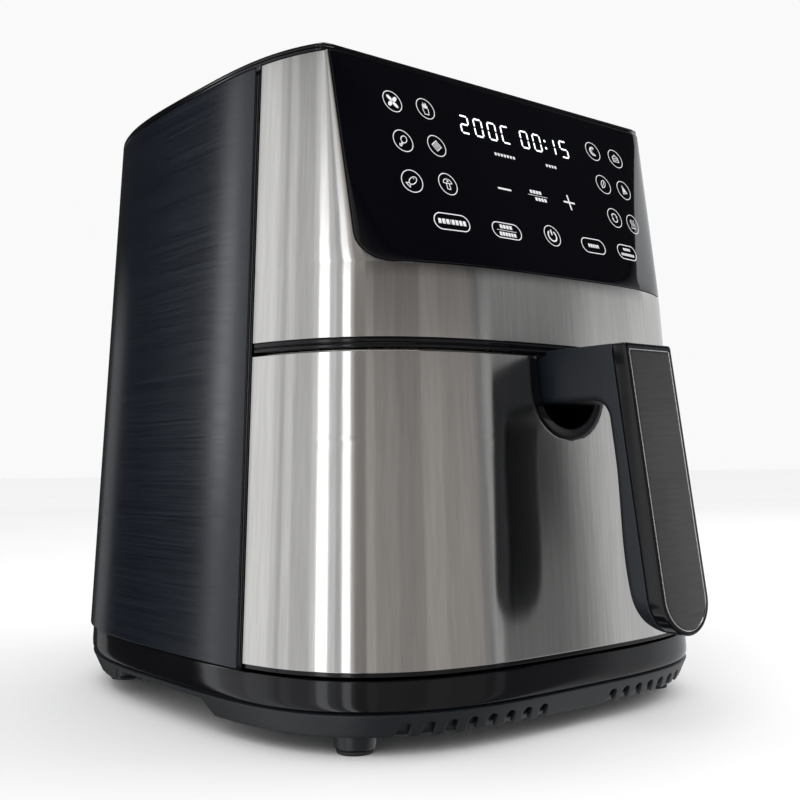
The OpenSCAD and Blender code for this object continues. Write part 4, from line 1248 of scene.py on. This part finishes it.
def make_panel_print():
    """Key rings, pictograms and bars printed on the glass, placed by their middles in millimetres."""
    keys = [(-82.6, 305.0, draw_fan), (-61.4, 305.6, draw_fries), (-82.6, 283.8, draw_drumstick),
            (-61.2, 285.1, draw_toast), (-82.6, 263, draw_fish), (-61.2, 264.6, draw_mushroom),
            (63.6, 305.8, draw_shrimp), (82.6, 304.6, draw_cake), (62.6, 285.0, draw_leaf),
            (80.2, 284.2, draw_slice), (62.4, 264.6, draw_swirl), (78.8, 263.2, draw_steam),
            (3.8, 246.2, draw_power)]
    bm = bmesh.new()
    for x, z, draw in keys:
        stroke(bm, oval((x, z), KEY_RADIUS, KEY_RADIUS, count=48), THIN, closed=True)
        draw(bm, (x, z))
    for x, wide in ((-64.6, 20.5), (-29.6, 19.6), (34.9, 18.4), (64.2, 17.6)):
        pill(bm, (x, 244.4), wide, 8.2)
    key_word, low_word = (1.7,) * 3 + (0.3,) + (1.7,) * 4, (1.7,) * 4
    bars = [(-64.6, 244.4, key_word, 2.5, 0.55), (-29.6, 246.4, low_word, 2.0, 0.5),
            (-29.6, 242.4, (1.5,) * 6, 2.0, 0.45), (34.9, 244.4, (1.3,) * 5, 2.0, 0.45),
            (64.2, 246.0, (1.3,) * 4, 1.5, 0.4), (64.2, 242.9, (1.2,) * 8, 1.5, 0.35),
            (-13.2, 288.6, (1.4,) * 7, 1.6, 0.8), (21.7, 288.8, (1.4,) * 4, 1.6, 0.8),
            (1.8, 270.4, low_word, 1.9, 0.5), (4.2, 266.4, low_word, 1.9, 0.5)]
    for x, z, lengths, height, gap in bars:
        dashes(bm, (x, z), lengths, height, gap)
    rules = [(-36.4, -22.8, 244.4, THIN_RULE), (-4.6, 9.8, 268.4, THIN_RULE), (-26.2, -16.8, 268.4, 1.0),
             (22.4, 31.2, 268.4, 1.0)]
    for x0, x1, z, width in rules:
        stroke(bm, [(x0, z), (x1, z)], width)
    for z0, z1 in ((264.0, 267.85), (268.95, 272.8)):
        stroke(bm, [(26.8, z0), (26.8, z1)], 1.0)
    facing_front(bm)
    piece("panel_print", bm, "key_print", "housing", thickness=0.05 * MM)


def make_digits():
    """Lit temperature and time, and two small marks under them."""
    wide, high, lean = 5.4, 10.0, 0.12
    base = 297.0
    dots_x, dot = 22.4, 0.75
    bm = bmesh.new()
    for glyph, x in zip("200C0015", (-39.8, -30.1, -20.3, -10.6, 3.6, 13.3, 24.2, 34.4)):
        draw_digit(bm, glyph, x, base, wide, high, lean)
    for z in (base + 3.0, base + 7.4):
        blob(bm, oval((dots_x + (z - base) * lean, z), dot, dot, count=14))
    facing_front(bm)
    piece("panel_digits", bm, "digits", "housing", thickness=0.05 * MM)


# ---------------------------------------------------------------- pot

def rounded_rect(half_w, half_d, radius, middle, z, count=10):
    """Loop of points round a rectangle with round corners."""
    loop = []
    for cx, cy, start in ((1, -1, -90), (1, 1, 0), (-1, 1, 90), (-1, -1, 180)):
        for a in spread(start, start + 90, count):
            loop.append(Vector((middle.x + cx * (half_w - radius) + radius * math.cos(math.radians(a)),
                                middle.y + cy * (half_d - radius) + radius * math.sin(math.radians(a)), z)))
    return loop


POT_HALF_W, POT_HALF_D, POT_CORNER = 113 * MM, 110 * MM, 40 * MM
POT_MIDDLE = Vector((middle_of("pot")[0], middle_of("crisper_plate")[1], 0))


def make_pot():
    """Pressed pot with a rolled rim and a rounded floor edge."""
    low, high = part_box("pot")
    top, floor = high.z, low.z
    round_r, wall, rim = 12 * MM, 1 * MM, 4 * MM
    inner_r = round_r - wall
    outer = []
    inner = []
    for a in (0, 22.5, 45, 67.5, 90):
        side, down = 1 - math.cos(math.radians(a)), math.sin(math.radians(a))
        outer.append((round_r * side, floor + round_r * (1 - down)))
        inner.append((wall + inner_r * side, floor + round_r - inner_r * down))
    profile = outer[::-1] + [(0, top - 2.2 * MM), (-rim + 0.6 * MM, top - 1.6 * MM), (-rim, top - 1.2 * MM),
                             (-rim, top - 0.5 * MM), (-rim + 0.4 * MM, top), (0, top),
                             (wall * 0.7, top - 0.3 * MM), (wall, top - 1.0 * MM)] + inner
    loops = [rounded_rect(POT_HALF_W - d, POT_HALF_D - d, POT_CORNER - d, POT_MIDDLE, z) for d, z in profile]
    bm = bmesh.new()
    rings(bm, loops, cap_first=True, cap_last=True)
    piece("pot", bm, "pot_coat", "drawer", "pot", outward=True)


def make_pot_runners():
    """Runners that sit on the rails, and the tab at the pot's back that presses the switch."""
    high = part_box("pot")[1]
    rail_z = middle_of("rails")[2]
    tab_z = middle_of("switch_plunger")[2]
    sunk = 0.5 * MM
    bm = bmesh.new()
    for side in (-1, 1):
        box_mesh(bm, (side * (POT_HALF_W - sunk), MIDDLE_Y - 53 * MM, rail_z - 2.5 * MM),
                 (side * high.x, MIDDLE_Y + 97 * MM, rail_z + 2.5 * MM))
    box_mesh(bm, (-6 * MM, POT_MIDDLE.y + POT_HALF_D - sunk, tab_z - 5 * MM),
             (6 * MM, high.y, tab_z + 5 * MM))
    piece("pot_runners", bm, "pot_coat", "drawer", outward=True, bevel=0.7 * MM, segments=3)


def box_mesh(bm, a, b):
    """Box between two opposite corners."""
    low = Vector(map(min, a, b))
    high = Vector(map(max, a, b))
    for v in bmesh.ops.create_cube(bm, size=1.0)["verts"]:
        v.co = [start + (at + 0.5) * (end - start) for at, start, end in zip(v.co, low, high)]


# ---------------------------------------------------------------- CAD nodes that stay

def dress_cad_nodes():
    """Finish and edge rounding for every CAD node that is shown."""
    for name, obj in frame["nodes"].items():
        if obj.hide_render:
            continue
        obj.data.materials.clear()
        obj.data.materials.append(finish_of(SLOT_OF[name]))
        weld = obj.modifiers.new("weld", "WELD")
        weld.merge_threshold = 2e-6
        finish_modifiers(obj, 0.25 * MM, 2, 35)


# ---------------------------------------------------------------- stage and light

def stage_mesh(name, bm, material):
    """A mesh of the set round the object."""
    mesh = bpy.data.meshes.new(name)
    bm.to_mesh(mesh)
    bm.free()
    mesh.materials.append(material)
    obj = bpy.data.objects.new(name, mesh)
    bpy.context.scene.collection.objects.link(obj)
    return obj


def make_floor():
    """White table top that polished surfaces don't show."""
    finish = Finish("floor", Specular_IOR_Level=0.1, Roughness=0.9)
    finish.colour(finish.noise((2, 2, 2), detail=2), (0.93, 0.93, 0.93), (0.95, 0.95, 0.95))
    bm = bmesh.new()
    bmesh.ops.create_circle(bm, cap_ends=True, segments=96, radius=12)
    stage_mesh("floor", bm, finish.material).visible_glossy = False


def glow(name, strength=None):
    """Even light, or light whose strength and colour are set at each point of the mesh."""
    material = bpy.data.materials.new(name)
    material.use_nodes = True
    tree = material.node_tree
    tree.nodes.clear()
    emission = tree.nodes.new("ShaderNodeEmission")
    output = tree.nodes.new("ShaderNodeOutputMaterial")
    tree.links.new(emission.outputs[0], output.inputs["Surface"])
    if strength is None:
        points = tree.nodes.new("ShaderNodeAttribute")
        points.attribute_name = "light"
        tree.links.new(points.outputs["Color"], emission.inputs["Color"])
    else:
        emission.inputs["Strength"].default_value = strength
    return material


def make_light_wall(cards):
    """Softboxes and flags that stand round the fryer and are seen only in polished surfaces.

    Each one has its bearings in degrees, 0 in front of the fryer and + to its right, its heights with their
    share of its strength, its strength and its colour."""
    distance = 1.6
    bm = bmesh.new()
    shades = []
    for start, end, levels, strength, colour in cards:
        steps = max(1, round(abs(end - start) / 3))
        rows = []
        for z, share in levels:
            row = []
            for a in spread(math.radians(start), math.radians(end), steps):
                row.append(bm.verts.new((distance * math.sin(a), MIDDLE_Y - distance * math.cos(a), z)))
                shades.append([strength * share * c for c in colour] + [1.0])
            rows.append(row)
        quads(bm, rows)
    mesh = stage_mesh("light_wall", bm, glow("light_wall"))
    only_in_mirrors(mesh)
    light = mesh.data.color_attributes.new("light", "FLOAT_COLOR", "POINT")
    light.data.foreach_set("color", np.array(shades).ravel())


def only_in_mirrors(obj):
    """Hides the mesh from everything but polished surfaces."""
    obj.visible_camera = False
    obj.visible_diffuse = False
    obj.visible_transmission = False
    obj.visible_volume_scatter = False
    obj.visible_shadow = False


def area_light(name, place, target, size, power):
    data = bpy.data.lights.new(name, "AREA")
    data.shape = "SQUARE"
    data.size = size
    data.energy = power
    obj = bpy.data.objects.new(name, data)
    bpy.context.scene.collection.objects.link(obj)
    obj.location = place
    obj.rotation_euler = (Vector(target) - Vector(place)).to_track_quat("-Z", "Y").to_euler()
    obj.visible_glossy = False
    obj.visible_camera = False


def make_light():
    """White surroundings, two soft lights, and the dome, disc and cards that polished surfaces mirror."""
    world = bpy.data.worlds.new("studio")
    bpy.context.scene.world = world
    world.use_nodes = True
    background = world.node_tree.nodes["Background"]
    background.inputs["Color"].default_value = (1.0, 1.0, 1.0, 1)
    background.inputs["Strength"].default_value = 0.95
    centre = (0, 0, 0.17)
    area_light("key", (-1.3, -1.2, 1.6), centre, 1.4, 16)
    area_light("fill", (1.6, -0.9, 1.3), centre, 1.4, 10)
    dome = bmesh.new()
    bmesh.ops.create_uvsphere(dome, u_segments=48, v_segments=24, radius=3.0)
    only_in_mirrors(stage_mesh("surround", dome, glow("surround", 0.03)))
    overhead = bmesh.new()
    bmesh.ops.create_circle(overhead, cap_ends=True, segments=48, radius=0.7)
    for v in overhead.verts:
        v.co.z = 2.2
    only_in_mirrors(stage_mesh("overhead", overhead, glow("overhead", 4.5)))
    low = [(-3.0, 1.0), (0.45, 1.0), (0.95, 0.0)]
    short = [(-3.0, 1.0), (0.4, 1.0), (0.6, 0.0)]
    tall = [(-3.0, 1.0), (0.75, 1.0), (1.0, 0.95), (1.35, 0.0)]
    strip = [(-3.0, 1.0), (0.66, 1.0), (0.9, 0.4), (1.35, 0.2)]
    flag = [(-3.0, 6.0), (0.07, 6.0), (0.13, 2.0), (0.18, 1.0), (0.32, 1.0), (0.5, 10.0), (0.65, 10.0),
            (0.95, 0.0)]
    sheen = [(-3.0, 0.3), (0.1, 0.4), (0.3, 1.0), (0.6, 0.9), (0.9, 0.5), (1.3, 0.0)]
    glare = [(-3.0, 0.75), (0.6, 0.75), (0.9, 1.3), (1.15, 1.3), (1.5, 0.0)]
    corner = [(-3.0, 1.0), (0.6, 1.0), (0.95, 1.6), (1.15, 1.2), (1.3, 0.0)]
    cool = (0.97, 0.985, 1.0)
    warm = (1.0, 0.955, 0.92)
    make_light_wall([
        (-142, -136.5, sheen, 3.0, cool), (-136.5, -125, tall, 0.7, cool), (-125, -112, tall, 0.98, cool),
        (-112, -108, tall, 0.8, cool), (-108, -105, tall, 0.6, cool), (-105, -99, tall, 0.85, cool),
        (-99, -85, tall, 0.66, cool), (-85, -80.5, tall, 0.85, cool), (-80.5, -72.5, strip, 2.3, cool),
        (-72.5, -67, tall, 0.8, cool), (-67, -62, tall, 0.58, cool), (-62, -56, strip, 2.1, cool),
        (-56, -53, corner, 0.5, warm), (-53, -44.5, corner, 0.27, warm), (-44.5, -38, low, 0.46, warm),
        (-38, -22, low, 0.35, warm), (-22, -6, low, 0.31, warm), (-6, 5.5, low, 0.42, warm),
        (5.5, 22.5, low, 0.36, warm), (22.5, 26, low, 0.25, cool), (26, 29.2, low, 0.42, cool),
        (29.2, 44.5, flag, 0.03, cool), (44.5, 46.0, low, 0.38, cool), (46.0, 47.6, low, 0.55, cool),
        (47.6, 60, low, 0.66, cool), (60, 75, low, 0.75, cool), (75, 122, glare, 0.95, cool),
        (135, 155, short, 0.5, cool), (-178, -166, short, 0.3, cool)])


# ---------------------------------------------------------------- everything together

make_camera()
make_wrap(-1, "wrap_left")
make_wrap(1, "wrap_right")
make_rear_panel()
make_rear_grille()
make_trim(-1, "trim_left")
make_trim(1, "trim_right")
make_top_cover()
make_front_band()
make_panel_glass()
make_mid_trim()
make_base_ring()
make_base_skirt()
make_base_floor()
make_feet()
make_cord_gland()
make_drawer_front()
make_pocket_liner()
make_handle_front()
make_handle_plate()
make_handle_back()
make_panel_print()
make_digits()
make_pot()
make_pot_runners()
dress_cad_nodes()
make_floor()
make_light()
bpy.context.scene.view_settings.view_transform = "Standard"
